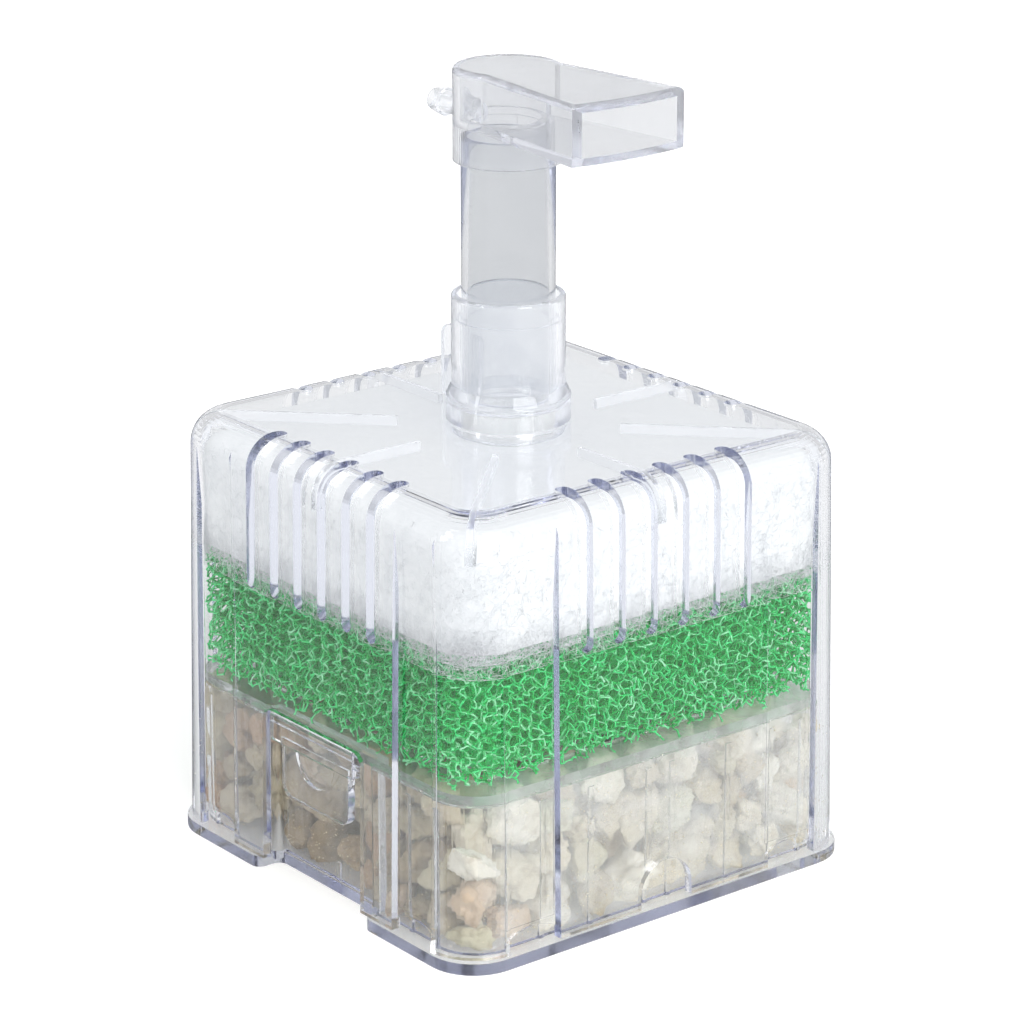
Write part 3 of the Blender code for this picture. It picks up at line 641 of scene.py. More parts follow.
def make_cover():
    foot = COVER_LOW[2]
    top = COVER_HIGH[2]
    openings = bmesh.new()
    append(openings, rod(CENTRE_HOLE, top - 6, top + PAST))
    for side in range(4):
        for index in range(SLOTS):
            append(openings, mark(slot_cutter((index - (SLOTS - 1) / 2) * SLOT_PITCH, side, top), "cut"))
        for sign in (-1, 1):
            scallop = flat_solid([scallop_outline(sign)], COVER_HALF - PAST, COVER_HALF + PAST)
            append(openings, on_side(scallop, side))
        if side % 2 == 0:
            half, high, rounding = LATCH_HALF, LATCH_TOP, LATCH_ROUND
        else:
            half, high, rounding = PRY_HALF, PRY_TOP, PRY_HALF - 0.05
        corners = [(-half, 0, 0), (half, 0, 0), (half, high, rounding), (-half, high, rounding)]
        hole = flat_solid([rounded_outline(corners, 12)], COVER_HALF - PAST, COVER_HALF + PAST)
        append(openings, on_side(hole, side))
    channels = bmesh.new()
    backs = bmesh.new()
    for side in range(4):
        for sign in (-1, 1):
            append(channels, channel_cutter(sign, side, top))
            append(backs, channel_back(sign, side))
    steps = [(backs, "UNION"), (openings, "DIFFERENCE"), (channels, "DIFFERENCE"), (cover_ribs(top), "UNION")]
    mesh = carve("cover_shell", cover_blank(foot, top), steps, bevel=0.28, wall=COVER_WALL)
    piece = add_piece("cover_shell", mesh, COVER_PLASTIC, "cover")
    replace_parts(piece, "cover")


# ---------------------------------------------------------------- the tray, grid and latches


FLANGE_TOP = 2.4
FLOOR_TOP = 1.2
TRAY_HALF = 46.6
TRAY_WALL = 1.5
NOTCH_HALF = 16.9
NOTCH_EDGE = 43.9
TRAY_RIBS = (3.0, 17.5, 29.0, 37.5)
TRAY_RIB_HALF = 0.8
TRAY_RIB_TOP = 31.2
TRAY_RIB_SWELL = 0.55
GRID_HOLE = 3.6
GRID_PITCH = 10.0
GRID_RING = 16.5
TUBE_ROOM = 9.6
LATCH_BAR = (29.4, 35.2)
BAR_HALF = 13.8
LATCH_STEP = 1.0
TONGUE_HALF = 11.2
TONGUE_FOOT = 18.2
TONGUE_ROUND = 2.8
TONGUE_THICK = 1.7
RELIEF = 6.4
GROOVE = (33.45, 33.75)


def notched_square(half, corner, notch_half, notch_edge, fillet, steps=8):
    lower = [(-half, -half, corner), (-notch_half, -half, fillet), (-notch_half, -notch_edge, fillet),
             (notch_half, -notch_edge, fillet), (notch_half, -half, fillet), (half, -half, corner)]
    upper = [(-x, -y, radius) for x, y, radius in lower]
    return rounded_outline(lower + upper, steps)


def make_tray():
    top = TRAY_HIGH[2]
    flange = flat_solid([notched_square(TRAY_HIGH[0], 10.2, 18.0, 44.5, 2.0)], 0, FLANGE_TOP)
    outer = notched_square(TRAY_HALF, 8.5, NOTCH_HALF, NOTCH_EDGE, 1.0)
    inner = notched_square(TRAY_HALF - TRAY_WALL, 7.0, NOTCH_HALF + TRAY_WALL, NOTCH_EDGE - TRAY_WALL, 1.0)
    walls = flat_solid([outer, inner], FLOOR_TOP, top)
    ribs = flat_solid([circle(7.6), circle(6.3)], FLOOR_TOP, 8.0)
    for side in range(4):
        for place in TRAY_RIBS:
            if side % 2 == 0 and place < NOTCH_HALF + TRAY_RIB_HALF:
                continue
            for middle in (-place, place):
                swell = [(middle - TRAY_RIB_HALF, TRAY_HALF - 0.7), (middle + TRAY_RIB_HALF, TRAY_HALF - 0.7)]
                swell += arc((middle, TRAY_HALF - 0.05), TRAY_RIB_HALF, 0, 180, 8)
                swell = [(x, min(y, TRAY_HALF) + max(y - TRAY_HALF, 0) * TRAY_RIB_SWELL) for x, y in swell]
                rib = flat_solid([swell], FLOOR_TOP, TRAY_RIB_TOP)
                append(ribs, turn_about(rib, 90 * side, "Z"))
    append(ribs, flat_solid([rectangle(0.9, 2.1, -44.3, -43.5)], FLANGE_TOP + 0.1, 6.5))
    mesh = carve("tray_shell", flange, [(walls, "UNION"), (ribs, "UNION")], bevel=0.22)
    piece = add_piece("tray_shell", mesh, TRAY_PLASTIC, "base")
    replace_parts(piece, "base_tray")


def make_grid():
    half = GRID_HIGH[0]
    outlines = [rectangle(-half, half, -half, half, 8.5, 10), circle(TUBE_ROOM)]
    places = [(number - 3.5) * GRID_PITCH for number in range(8)]
    for y in places:
        for x in places:
            if math.hypot(x, y) > GRID_RING:
                outlines.append(rectangle(x - GRID_HOLE, x + GRID_HOLE, y - GRID_HOLE, y + GRID_HOLE, 0.5, 3))
    mesh = carve("grid_plate", flat_solid(outlines, GRID_LOW[2], GRID_HIGH[2]), [], bevel=0.2)
    piece = add_piece("grid_plate", mesh, GRID_PLASTIC, "base")
    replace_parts(piece, "separator_grid")


def make_latch(name, side, body):
    """A root bar and a thinner rounded tongue below it, with a thumb relief and a groove."""
    front = COVER_HALF
    step = front - LATCH_STEP
    low = LATCH_BAR[0]
    root = flat_solid([rectangle(-BAR_HALF, BAR_HALF, *LATCH_BAR, 0.4, 3)], front - COVER_WALL, front)
    half = TONGUE_HALF
    outline = rounded_outline([(-half, TONGUE_FOOT, TONGUE_ROUND), (half, TONGUE_FOOT, TONGUE_ROUND),
                               (half, low + 1.0, 0), (-half, low + 1.0, 0)], 10)
    tab = on_side(flat_solid([outline], step - TONGUE_THICK, step), side)
    relief = on_side(flat_solid([arc((0, low), RELIEF, 180, 360, 32)], step - 0.6, front + 2), side)
    groove = flat_solid([rectangle(-BAR_HALF - 0.1, BAR_HALF + 0.1, *GROOVE)], front - 0.25, front + 2)
    steps = [(tab, "UNION"), (relief, "DIFFERENCE"), (on_side(groove, side), "DIFFERENCE")]
    mesh = carve(name, on_side(root, side), steps, bevel=0.15)
    return add_piece(name, mesh, COVER_PLASTIC, body)


# ---------------------------------------------------------------- tubes, socket and outlet


TUBE_RADIUS = 9.3
TUBE_BORE = 8.0
SOCKET_RADIUS = 11.35
SOCKET_RING = 12.5
SOCKET_BORE = 9.6
SOCKET_LIP = 10.1
RING_FOOT = 90.3
SPIGOT_RADIUS = 11.3
SHELF = 93.4
FIN_NEAR = 11.0
FIN_FAR = 20.8
FIN_TOP = 105.3
BILL_RADIUS = 10.85
BILL_HALF = 13.6
BILL_REACH = 36.0
BILL_CROWN = 1.3
BILL_FLOOR = 149.6
HEAD_WALL = 1.5
BARB_TIP = 23.3
BARB_BACK = 19.4
BARB_RADIUS = 2.9
SHAFT_RADIUS = 2.2
AIR_BORE = 1.2


def tube_mesh(name, low, high, rounding):
    profile = rounded_outline([(TUBE_RADIUS, high, rounding), (TUBE_RADIUS, low, rounding),
                               (TUBE_BORE, low, rounding), (TUBE_BORE, high, rounding)], 4)
    return metres(turned(profile), name)


def make_tubes():
    mesh = tube_mesh("inner_tube", TUBE_LOW[2], TUBE_HIGH[2], 0.3)
    piece = add_piece("inner_tube", mesh, GRID_PLASTIC, "base", 40)
    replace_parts(piece, "centre_tube")

    mesh = tube_mesh("riser_pipe", RISER_LOW[2], RISER_HIGH[2], 0.35)
    piece = add_piece("riser_pipe", mesh, RISER_PLASTIC, "riser", 40)
    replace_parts(piece, "riser_tube")


def make_socket():
    top = SOCKET_HIGH[2]
    foot = SOCKET_LOW[2]
    lip = 111.0
    profile = [(SOCKET_LIP, top, 0.4), (SOCKET_RADIUS, top, 0.9), (SOCKET_RADIUS, 97.6, 1.2),
               (SOCKET_RING, 95.4, 0.8), (SOCKET_RING, RING_FOOT, 0.3), (SPIGOT_RADIUS, RING_FOOT, 0.0),
               (SPIGOT_RADIUS, foot, 0.3), (SOCKET_BORE, foot, 0.3), (SOCKET_BORE, SHELF, 0.2),
               (TUBE_BORE + 0.2, SHELF, 0.2), (TUBE_BORE + 0.2, SHELF + 0.7, 0.2),
               (SOCKET_BORE, SHELF + 0.7, 0.2), (SOCKET_BORE, lip, 0.15), (SOCKET_LIP, lip, 0.15)]
    outline = rounded_outline([(-FIN_FAR, RING_FOOT, 0), (-FIN_NEAR, RING_FOOT, 0),
                               (-FIN_NEAR, FIN_TOP, 0), (-FIN_FAR, FIN_TOP, 2.5)], 10)
    fin = turn_about(flat_solid([outline], -0.9, 0.9), 90, "X")
    mesh = carve("socket_body", turned(rounded_outline(profile, 4)), [(fin, "UNION")], bevel=0.2)
    piece = add_piece("socket_body", mesh, SOCKET_PLASTIC, "cover")
    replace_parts(piece, "riser_socket")


def bill_outline(inset, reach):
    """A round back that widens to a slightly bowed mouth."""
    radius = BILL_RADIUS - inset
    half = BILL_HALF - inset
    points = arc((0, 0), radius, 65.0, 295.0, 90)
    for i in range(17):
        along = -1 + 2 * i / 16
        points.append((reach + BILL_CROWN * (1 - along ** 2), half * along))
    return points


def make_head():
    bottom = BILL_FLOOR
    top = HEAD_HIGH[2]
    block = flat_solid([bill_outline(0.0, BILL_REACH)], bottom, top)
    rim = [e for e in block.edges if all(v.co.z > top - 0.01 for v in e.verts)]
    bmesh.ops.bevel(block, geom=rim, offset=1.1, segments=5, profile=0.5, affect="EDGES")
    low = HEAD_LOW[2]
    sleeve = rod(BILL_RADIUS, low, bottom + 1)
    duct = flat_solid([bill_outline(HEAD_WALL, BILL_REACH + 6.0)], bottom + HEAD_WALL, top - HEAD_WALL)
    bore = rod(SOCKET_BORE, low - PAST, bottom)
    throat = rod(TUBE_BORE, bottom - 2, bottom + 3.5)
    hole = turn_about(rod(SHAFT_RADIUS + 0.3, 0, 15, 32), -90, "Y")
    bmesh.ops.translate(hole, vec=(0, 0, bottom + 0.9), verts=hole.verts)
    steps = [(sleeve, "UNION")] + [(cutter, "DIFFERENCE") for cutter in (duct, bore, throat, hole)]
    mesh = carve("head_shell", block, steps, bevel=0.25)
    piece = add_piece("head_shell", mesh, HEAD_PLASTIC, "outlet")
    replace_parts(piece, "outlet_head")


def make_nipple():
    root = 7.2
    profile = [(AIR_BORE, BARB_TIP, 0.15), (SHAFT_RADIUS, BARB_TIP, 0.3), (BARB_RADIUS, BARB_BACK, 0.2),
               (SHAFT_RADIUS, BARB_BACK, 0.1), (SHAFT_RADIUS, root, 0.2), (AIR_BORE, root, 0.15)]
    bm = turned(rounded_outline(profile, 4), 48)
    turn_about(bm, -90, "Y")
    bmesh.ops.translate(bm, vec=(0, 0, (NIPPLE_LOW[2] + NIPPLE_HIGH[2]) / 2), verts=bm.verts)
    piece = add_piece("nipple", metres(bm, "nipple"), SOCKET_PLASTIC, "outlet", 40)
    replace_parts(piece, "air_nipple")


# ---------------------------------------------------------------- foam


def foam_network(cell, half, tall):
    """Ends of the struts of a foam of many-sided cells, over the foam's box and a little more."""
    corners = set()
    for axes in ((0, 1, 2), (1, 2, 0), (2, 0, 1), (0, 2, 1), (2, 1, 0), (1, 0, 2)):
        for one in (-1, 1):
            for two in (-2, 2):
                corner = [0, 0, 0]
                corner[axes[1]] = one
                corner[axes[2]] = two
                corners.add(tuple(corner))
    corners = np.array(sorted(corners))
    pairs = [(i, j) for i in range(len(corners)) for j in range(i)
             if ((corners[i] - corners[j]) ** 2).sum() == 2]
    pairs = np.array(pairs)
    turn = np.array(Matrix.Rotation(0.46, 3, (0.3, 0.8, 0.5)))
    room = np.array([half, half, tall / 2]) + 5.0
    reach = int(np.linalg.norm(room) / cell) + 1
    steps = np.arange(-reach, reach + 1)
    x, y, z = np.meshgrid(steps, steps, steps, indexing="ij")
    centres = np.stack([x, y, z], -1).reshape(-1, 3) * 4
    centres = np.concatenate([centres, centres + 2])
    near = (np.abs(centres / 4 * cell @ turn.T) < room).all(1)
    centres = centres[near]
    first = (centres[:, None, :] + corners[pairs[:, 0]][None]).reshape(-1, 3)
    last = (centres[:, None, :] + corners[pairs[:, 1]][None]).reshape(-1, 3)
    both = np.unique(np.concatenate([first, last], 1), axis=0)
    points, index = np.unique(both.reshape(-1, 3), axis=0, return_inverse=True)
    index = index.reshape(-1, 2)
    spot = points / 4 * cell
    spot = spot + rng.normal(0, 0.085 * cell, spot.shape)
    spot = spot @ turn.T
    for _ in range(6):
        way = unit(rng.normal(0, 1, 3)) / rng.uniform(1.6, 4.2)
        push = rng.normal(0, 1, 3) * 0.32
        spot = spot + np.sin(spot @ way + rng.uniform(0, math.tau))[:, None] * push
    return spot, index


def unit(vectors):
    return vectors / np.maximum(np.linalg.norm(vectors, axis=-1, keepdims=True), 1e-6)


def tube_faces(count, rings):
    """Faces of three-sided tubes whose points come ring by ring."""
    base = (np.arange(count) * rings * 3)[:, None]
    faces = []
    for ring in range(rings - 1):
        for corner in range(3):
            after = (corner + 1) % 3
            faces += (base + np.array([corner, after, after + 3, corner + 3]) + ring * 3).tolist()
    faces += (base + np.array([2, 1, 0])).tolist()
    return faces + (base + np.array([0, 1, 2]) + (rings - 1) * 3).tolist()


def strut_mesh(name, first, last, end_radius, middle_radius, depth):
    """Three-sided struts, thinner in the middle, as one mesh."""
    count = len(first)
    way = last - first
    length = np.linalg.norm(way, axis=1, keepdims=True)
    way = unit(way)
    side = unit(np.cross(way, np.where(np.abs(way[:, 2:3]) < 0.8, [[0, 0, 1.0]], [[1.0, 0, 0]])))
    other = np.cross(way, side)
    spin = rng.uniform(0, math.tau, count)
    points = np.zeros((count, 9, 3))
    bend = (side * rng.normal(0, 0.12, (count, 1)) + other * rng.normal(0, 0.12, (count, 1)))
    shares = ((-0.06, end_radius), (0.5, middle_radius), (1.06, end_radius))
    for ring, (share, radius) in enumerate(shares):
        centre = first + way * length * share + (bend if ring == 1 else 0)
        for corner in range(3):
            angle = spin + corner * math.tau / 3
            off = side * np.cos(angle)[:, None] + other * np.sin(angle)[:, None]
            points[:, ring * 3 + corner] = centre + off * np.reshape(radius, (-1, 1))
    mesh = arrays_mesh(name, points.reshape(-1, 3), tube_faces(count, 3))
    carry(mesh, "depth", np.repeat(depth, 9), "POINT")
    return mesh


FOAM_CELL = 3.3
FOAM_DEPTH = 7.0
FOAM_CORNER = 7.0
FOAM_OVER = 1.2
STRUT_RADIUS = 0.26
STRUT_WAIST = 0.155


def make_foam():
    """A lattice of struts as deep as FOAM_DEPTH over a solid core, with a ragged underside."""
    half = FOAM_HIGH[0]
    bottom = FOAM_LOW[2]
    top = FOAM_HIGH[2] + FOAM_OVER
    spot, index = foam_network(FOAM_CELL, half, top - bottom)
    spot = spot + np.array([0, 0, (bottom + top) / 2])
    ragged_low = bottom + 0.8 + 1.1 * np.sin(spot[:, 0] * 0.9 + 1.2 * np.sin(spot[:, 1] * 0.5)) \
        + 0.9 * np.sin(spot[:, 1] * 1.1 + spot[:, 0] * 0.23)
    square = np.maximum(np.abs(spot[:, :2]) - (half - FOAM_CORNER), 0)
    outside = np.linalg.norm(square, axis=1) - FOAM_CORNER
    rise = 0.9 * np.sin(spot[:, 0] * 0.16 + 0.8) - 0.02 * spot[:, 0] + 0.5 * np.sin(spot[:, 1] * 0.7)
    inside = (outside < 0.3) & (spot[:, 2] > ragged_low) & (spot[:, 2] < top + rise) & (outside > -FOAM_DEPTH)
    keep = inside[index].all(1)
    index = index[keep]
    first = spot[index[:, 0]]
    last = spot[index[:, 1]]
    middle = (first + last) / 2
    thick = rng.uniform(0.8, 1.25, len(index))
    quarter = np.where(np.abs(middle[:, 0]) > np.abs(middle[:, 1]),
                       np.where(middle[:, 0] > 0, 1, 3), np.where(middle[:, 1] > 0, 2, 0))
    pieces = []
    for number, side in enumerate(("front", "right", "back", "left")):
        mine = quarter == number
        away = outside[index[mine]].mean(1)
        mesh = strut_mesh(f"foam_{side}", first[mine], last[mine], STRUT_RADIUS * thick[mine],
                          STRUT_WAIST * thick[mine], np.clip((-away - 1.2) / 2.4, 0, 1))
        piece = add_piece(f"foam_{side}", mesh, FOAM, "base", 180)
        pieces.append(piece)
    edge = half - FOAM_DEPTH
    core = flat_solid([rectangle(-edge, edge, -edge, edge, 2.0), circle(TUBE_ROOM)],
                      bottom + 2.0, FOAM_HIGH[2])
    core_mesh = metres(core, "foam_core")
    carry(core_mesh, "depth", np.ones(len(core_mesh.vertices)), "POINT")
    piece = add_piece("foam_core", core_mesh, FOAM, "base")
    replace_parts(pieces[0], "foam_block")


# ---------------------------------------------------------------- floss


def fibres(name, count, start_at, spread, steps, radius, reach):
    """Thin wandering fibres near given points; spread(points) keeps them where they belong."""
    points = start_at(count)
    heading = rng.normal(0, 1, (count, 3))
    line = [points]
    for _ in range(steps):
        heading = unit(heading + rng.normal(0, 0.55, (count, 3)))
        points = spread(points + heading * reach)
        line.append(points)
    line = np.stack(line, 1)
    ahead = unit(np.gradient(line, axis=1))
    side = unit(np.cross(ahead, np.array([0.3, 0.5, 0.81])))
    other = np.cross(ahead, side)
    rings = []
    for corner in range(3):
        angle = corner * math.tau / 3
        rings.append(line + (side * math.cos(angle) + other * math.sin(angle)) * radius)
    return arrays_mesh(name, np.stack(rings, 2).reshape(-1, 3), tube_faces(count, steps + 1))


def hold_in(points, gap, low, high):
    """Push points back inside the cover's rounded square, between two heights."""
    corner = 9.0
    straight = (COVER_HALF - DRAFT * points[:, 2] - COVER_WALL - gap - corner)[:, None]
    square = np.abs(points[:, :2]) - straight
    over = np.maximum(square, 0)
    far = np.linalg.norm(over, axis=1)
    scale = np.where(far > corner, corner / np.maximum(far, 1e-6), 1.0)
    edge = np.where(square > 0, over * scale[:, None], square)
    flat = np.sign(points[:, :2]) * (edge + straight)
    return np.column_stack([flat, np.clip(points[:, 2], low, high)])


FLOSS_BORE = 9.7
FLOSS_CORNER = 9.5
FLOSS_SHOULDER = 6.0
FIBRES = 6500
FIBRE_STEPS = 9
FIBRE_REACH = 1.2


def make_floss():
    """A soft-edged pad with fibres on its walls and wisps hanging over the foam."""
    bottom = FLOSS_LOW[2]
    top = FLOSS_HIGH[2]
    half = FLOSS_HIGH[0]
    bm = soft_box(lambda height: half, bottom, top, (FLOSS_CORNER, 10), (FLOSS_SHOULDER, 8))
    bore = rod(FLOSS_BORE, bottom - PAST, top + PAST)
    pockets = cover_ribs(COVER_HIGH[2], RIB_ROOM)
    mesh = carve("floss_body", bm, [(bore, "DIFFERENCE"), (pockets, "DIFFERENCE")])
    body = add_piece("floss_body", mesh, FLOSS, "base", 50)
    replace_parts(body, "floss_pad")

    def on_walls(count):
        along = rng.uniform(-half, half, count)
        height = rng.uniform(bottom - 0.5, top - 3, count)
        low_ones = rng.uniform(0, 1, count) < 0.35
        height = np.where(low_ones, bottom + np.abs(rng.normal(0, 1.6, count)) - 1.0, height)
        out = half + rng.uniform(-0.5, 0.6, count)
        side = rng.integers(0, 4, count)
        x = np.choose(side, [along, out, along, -out])
        y = np.choose(side, [-out, along, out, along])
        return np.stack([x, y, height], 1)

    def near_walls(points):
        return hold_in(points, 0.4, bottom - 1.6, top - 0.5)

    def on_boundary(count):
        points = on_walls(count)
        points[:, 2] = bottom + 0.3 + rng.normal(0, 1.3, count)
        points[:, :2] *= (half + rng.uniform(-1.2, 0.5, (count, 1))) / half
        return points

    def hanging(points):
        return hold_in(points, 0.35, bottom - 4.5, bottom + 5.0)

    for name, start_at, keep, radius in (("floss_fibres", on_walls, near_walls, 0.030),
                                         ("floss_wisps", on_boundary, hanging, 0.022)):
        mesh = fibres(name, FIBRES, start_at, keep, FIBRE_STEPS, radius, FIBRE_REACH)
        strands = add_piece(name, mesh, FIBRE, "base", 180)


# ---------------------------------------------------------------- stones


def ball(level):
    bm = bmesh.new()
    bmesh.ops.create_icosphere(bm, subdivisions=level, radius=1.0)
    points = np.array([v.co[:] for v in bm.verts])
    faces = [[v.index for v in f.verts] for f in bm.faces]
    bm.free()
    return points, faces


def copies_mesh(name, shapes, faces):
    """One mesh of many shapes that share a list of faces."""
    size = len(shapes[0])
    polygons = [[v + size * number for v in face] for number in range(len(shapes)) for face in faces]
    return arrays_mesh(name, np.concatenate(shapes), polygons)


def rock_points(ways, radius):
    """A chipped stone: a soft many-sided solid with lumps and pits."""
    planes = unit(rng.normal(0, 1, (15, 3))) / rng.uniform(0.68, 1.0, (15, 1))
    gauge = (np.maximum(ways @ planes.T, 0) ** 14).sum(1) ** (1 / 14)
    size = 1 / np.maximum(gauge, 0.75)
    for _ in range(16):
        pace = rng.uniform(3, 22)
        way = unit(rng.normal(0, 1, 3)) * pace
        size = size + 0.13 / pace ** 0.6 * np.sin(ways @ way + rng.uniform(0, math.tau))
    shape = ways * size[:, None] * rng.uniform([0.8, 0.7, 0.62], [1.2, 1.05, 0.95])
    turn = np.array(Vector(rng.normal(0, 1, 3)).rotation_difference(Vector(rng.normal(0, 1, 3))).to_matrix())
    return shape @ turn.T * radius


STONES = 400
STONE_GROUPS = 10
CAD_STONES = 40
STONE_FLOOR = 2.5
BASKET_HALF = 45.0
NOTCH_INSIDE = 42.2
CRUMBS = 3600


def settle(count, radii, low, high):
    """Centres of stones pushed apart until they hardly overlap, kept in the tray."""
    spot = rng.uniform([-BASKET_HALF, -BASKET_HALF, low], [BASKET_HALF, BASKET_HALF, high], (count, 3))
    for _ in range(160):
        gap = spot[:, None] - spot[None]
        far = np.linalg.norm(gap, axis=2) + np.eye(count) * 100
        reach = (radii[:, None] + radii[None]) * 0.93
        over = np.maximum(reach - far, 0)
        spot = spot + (gap / far[..., None] * over[..., None] * 0.42).sum(1)
        spot[:, 2] -= 0.05
        edge = BASKET_HALF - radii * 0.86
        spot[:, 0] = np.clip(spot[:, 0], -edge, edge)
        by_notch = np.abs(spot[:, 0]) < NOTCH_HALF + TRAY_WALL + radii * 0.5
        notch = np.where(by_notch, NOTCH_INSIDE - radii * 0.86, edge)
        spot[:, 1] = np.clip(spot[:, 1], -notch, notch)
        spot[:, 2] = np.clip(spot[:, 2], low + radii * 0.8, high - radii * 0.8)
        out = np.linalg.norm(spot[:, :2], axis=1)
        need = 9.5 + radii * 0.9
        push = np.where(out < need, need / np.maximum(out, 1e-6), 1.0)
        spot[:, :2] *= push[:, None]
    return spot


def make_stones():
    """Stones in a few pieces; by the front wall away from +X they take darker kinds, part their own colour
    and part painted shade, and a brown darkening that is painted shade.
    """
    radii = rng.uniform(3.1, 6.0, STONES)
    low = STONE_FLOOR
    high = GRID_LOW[2] - 0.2
    spot = settle(STONES, radii, low, high)
    ways, faces = ball(4)
    numbers = [f"stone_{i:02d}" for i in range(1, CAD_STONES + 1)]
    order = np.argsort(np.arctan2(spot[:, 1], spot[:, 0]))
    for group in range(STONE_GROUPS):
        rocks = []
        tones = []
        stains_and_shade = []
        for index in order[group::STONE_GROUPS]:
            rock = rock_points(ways, radii[index]) + spot[index]
            x, y = spot[index, :2]
            # shady marks stones by the front wall away from +X: they get darker kinds and a brown darkening,
            # painted shade over the random stain.
            shady = np.clip((-y - 18.0) / 16.0, 0, 1) * np.clip((40.0 - x) / 12.0, 0, 1)
            tones.append(rng.uniform(0.5, 0.92) if rng.uniform() < 0.7 * shady else rng.uniform())
            stains_and_shade.append(rng.uniform(0.0, 0.25) + shady * rng.uniform(0.4, 0.75))
            rock[:, 0] = np.clip(rock[:, 0], -BASKET_HALF, BASKET_HALF)
            limit = np.where(np.abs(rock[:, 0]) < 18.6, NOTCH_INSIDE + 0.1, BASKET_HALF)
            rock[:, 1] = np.clip(rock[:, 1], -limit, limit)
            rock[:, 2] = np.clip(rock[:, 2], low, high)
            rocks.append(rock)
        mesh = copies_mesh(f"stones_{group + 1}", rocks, faces)
        carry(mesh, "tone", np.repeat(tones, len(ways)), "POINT")
        carry(mesh, "stain_and_shade", np.repeat(stains_and_shade, len(ways)), "POINT")
        piece = add_piece(f"stones_{group + 1}", mesh, ROCK, "base", 60)
        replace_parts(piece, *numbers[group::STONE_GROUPS])


def make_dust():
    """Crumbs of stone clinging to the plastic."""
    ways, faces = ball(1)
    crumbs = []
    for number in range(CRUMBS):
        along = rng.uniform(-44, 44)
        height = rng.uniform(3, 32) if number % 3 else 3 + abs(rng.normal(0, 6))
        height = min(height, 33.0)
        side = number % 4
        size = rng.uniform(0.04, 0.15)
        crumb = ways * rng.uniform(0.6, 1.2, (len(ways), 1)) * size
        in_notch = side % 2 == 0 and abs(along) < 17.5
        out = (NOTCH_EDGE if in_notch else TRAY_HALF) + 0.15 + size
        place = np.array([along, -out, height])
        turn = np.array(Matrix.Rotation(side * math.pi / 2, 3, "Z"))
        crumbs.append((crumb + place) @ turn.T)
    mesh = copies_mesh("dust", crumbs, faces)
    carry(mesh, "tone", rng.uniform(0, 1, len(mesh.vertices)), "POINT")
    add_piece("dust", mesh, DUST, "base", 180)


# ---------------------------------------------------------------- camera and studio


CAMERA_AZIMUTH = 51.5814
CAMERA_ELEVATION = 18.794
CAMERA_DISTANCE = 0.75089
CAMERA_LENS = 131.82
AIM_RIGHT = 0.0007056
AIM_HEIGHT = 0.070215
FLOOR_HALF = 6.0
FLOOR_DROP = 0.0002
MIRRORED_FLOOR = (0.05, 0.05, 0.06)


def make_camera():
    azimuth = math.radians(CAMERA_AZIMUTH)
    elevation = math.radians(CAMERA_ELEVATION)
    back = Vector((math.sin(azimuth) * math.cos(elevation), -math.cos(azimuth) * math.cos(elevation),
                   math.sin(elevation)))
    right = Vector((math.cos(azimuth), math.sin(azimuth), 0))
    target = right * AIM_RIGHT + Vector((0, 0, AIM_HEIGHT))
    data = bpy.data.cameras.new("camera")
    data.lens = CAMERA_LENS
    data.sensor_width = 36.0
    data.clip_start = 0.01
    camera = bpy.data.objects.new("camera", data)
    camera.location = target + back * CAMERA_DISTANCE
    camera.rotation_euler = back.to_track_quat("Z", "Y").to_euler()
    scene.collection.objects.link(camera)
    scene.camera = camera


def lamp(name, place, target, width, height, power):
    data = bpy.data.lights.new(name, "AREA")
    data.shape = "RECTANGLE"
    data.size = width
    data.size_y = height
    data.energy = power
    light = bpy.data.objects.new(name, data)
    light.location = place
    aim = Vector(place) - Vector(target)
    light.rotation_euler = aim.to_track_quat("Z", "Y").to_euler()
    scene.collection.objects.link(light)


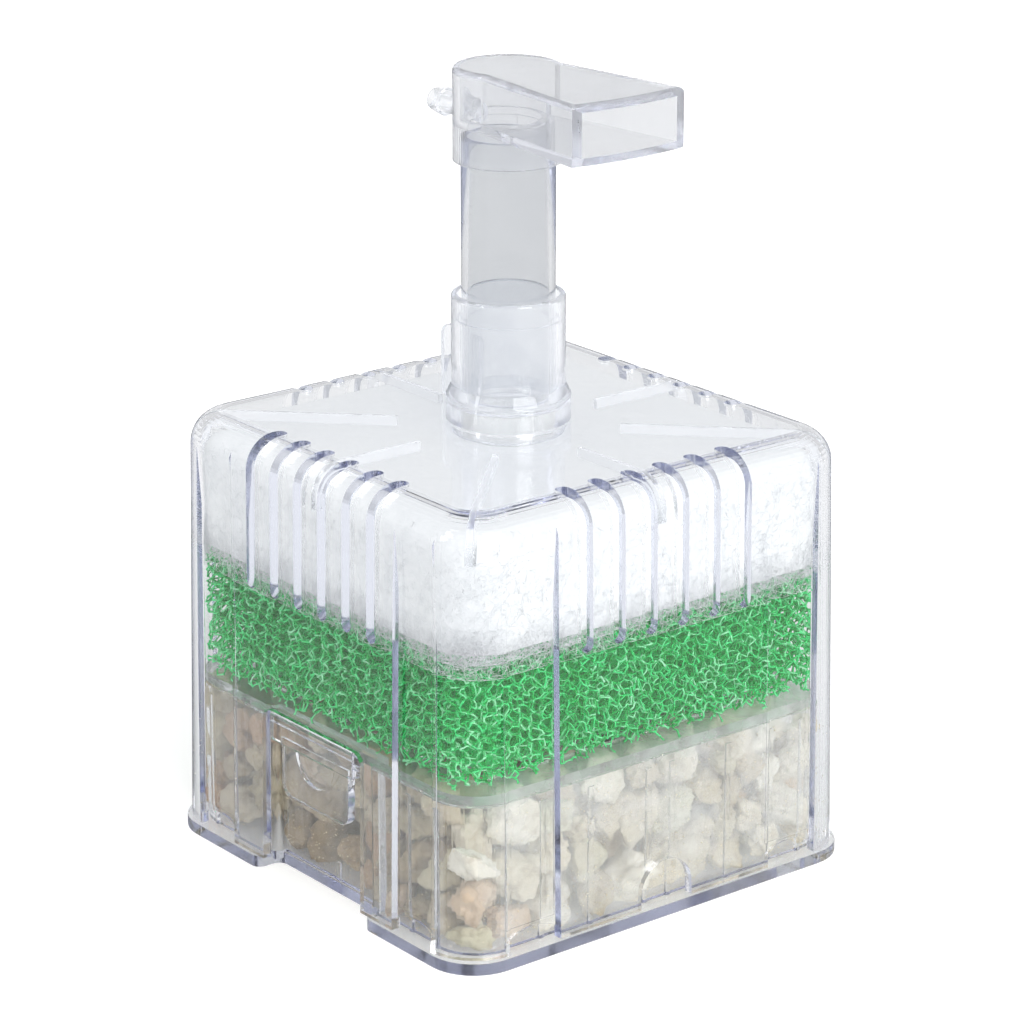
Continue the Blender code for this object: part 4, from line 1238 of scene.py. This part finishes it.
def make_studio():
    """A white floor and world that glow for camera rays, with the floor dark in pure mirror rays as a painted
    reflection, darker still towards -X, which puts painted shade in the reflections on the object's -Y side.
    """
    material, tree, shader = tree_of("floor")
    colour = ramp_node(tree, noise_node(tree, 3.0), [(0.3, (0.93, 0.93, 0.93)), (0.7, (0.95, 0.95, 0.95))])
    path = new_node(tree, "LightPath").outputs
    mirrored = math_node(tree, "GREATER_THAN", path["Is Glossy Ray"], path["Is Transmission Ray"])
    # The mirror-ray darkening grows towards -X: painted shade in the reflections on the object's -Y side.
    dim = math_node(tree, "MULTIPLY", mirrored, place_range(tree, "X", -50.0, 50.0, 0.97, 0.6))
    feed(tree, shader, Base_Color=blend_node(tree, dim, colour, MIRRORED_FLOOR), Roughness=0.9,
         Emission_Color=(1.0, 1.0, 1.0, 1.0),
         Emission_Strength=math_node(tree, "MULTIPLY", path["Is Camera Ray"], 0.32))
    mesh = bpy.data.meshes.new("floor")
    corners = [(x * FLOOR_HALF, y * FLOOR_HALF, -FLOOR_DROP) for x, y in ((-1, -1), (1, -1), (1, 1), (-1, 1))]
    mesh.from_pydata(corners, [], [(0, 1, 2, 3)])
    floor = bpy.data.objects.new("floor", mesh)
    mesh.materials.append(material)
    scene.collection.objects.link(floor)
    world = bpy.data.worlds.new("studio")
    world.use_nodes = True
    scene.world = world
    tree = world.node_tree
    path = new_node(tree, "LightPath").outputs
    glow = math_node(tree, "MULTIPLY_ADD", path["Is Camera Ray"], 0.4, 0.74)
    feed(tree, tree.nodes["Background"], Color=(0.985, 0.992, 1.0, 1.0), Strength=glow)
    sun = bpy.data.lights.new("key", "SUN")
    sun.energy = 1.9
    sun.angle = math.radians(40)
    key = bpy.data.objects.new("key", sun)
    key.rotation_euler = Vector((0.85, -0.05, 0.55)).to_track_quat("Z", "Y").to_euler()
    scene.collection.objects.link(key)
    lamp("strip", (-0.2, -0.9, 0.7), (0, 0, 0.1), 0.15, 0.7, 1.6)


make_camera()
make_cover()
make_tray()
make_grid()
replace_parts(make_latch("latch_front_tongue", 0, "latch_front"), "latch_tab_front")
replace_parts(make_latch("latch_back_tongue", 2, "latch_back"), "latch_tab_back")
make_tubes()
make_socket()
make_head()
make_nipple()
make_foam()
make_floss()
make_stones()
make_dust()
make_studio()

scene.view_settings.view_transform = "Standard"
scene.cycles.max_bounces = 48
scene.cycles.transmission_bounces = 40
scene.cycles.transparent_max_bounces = 32
scene.cycles.glossy_bounces = 40
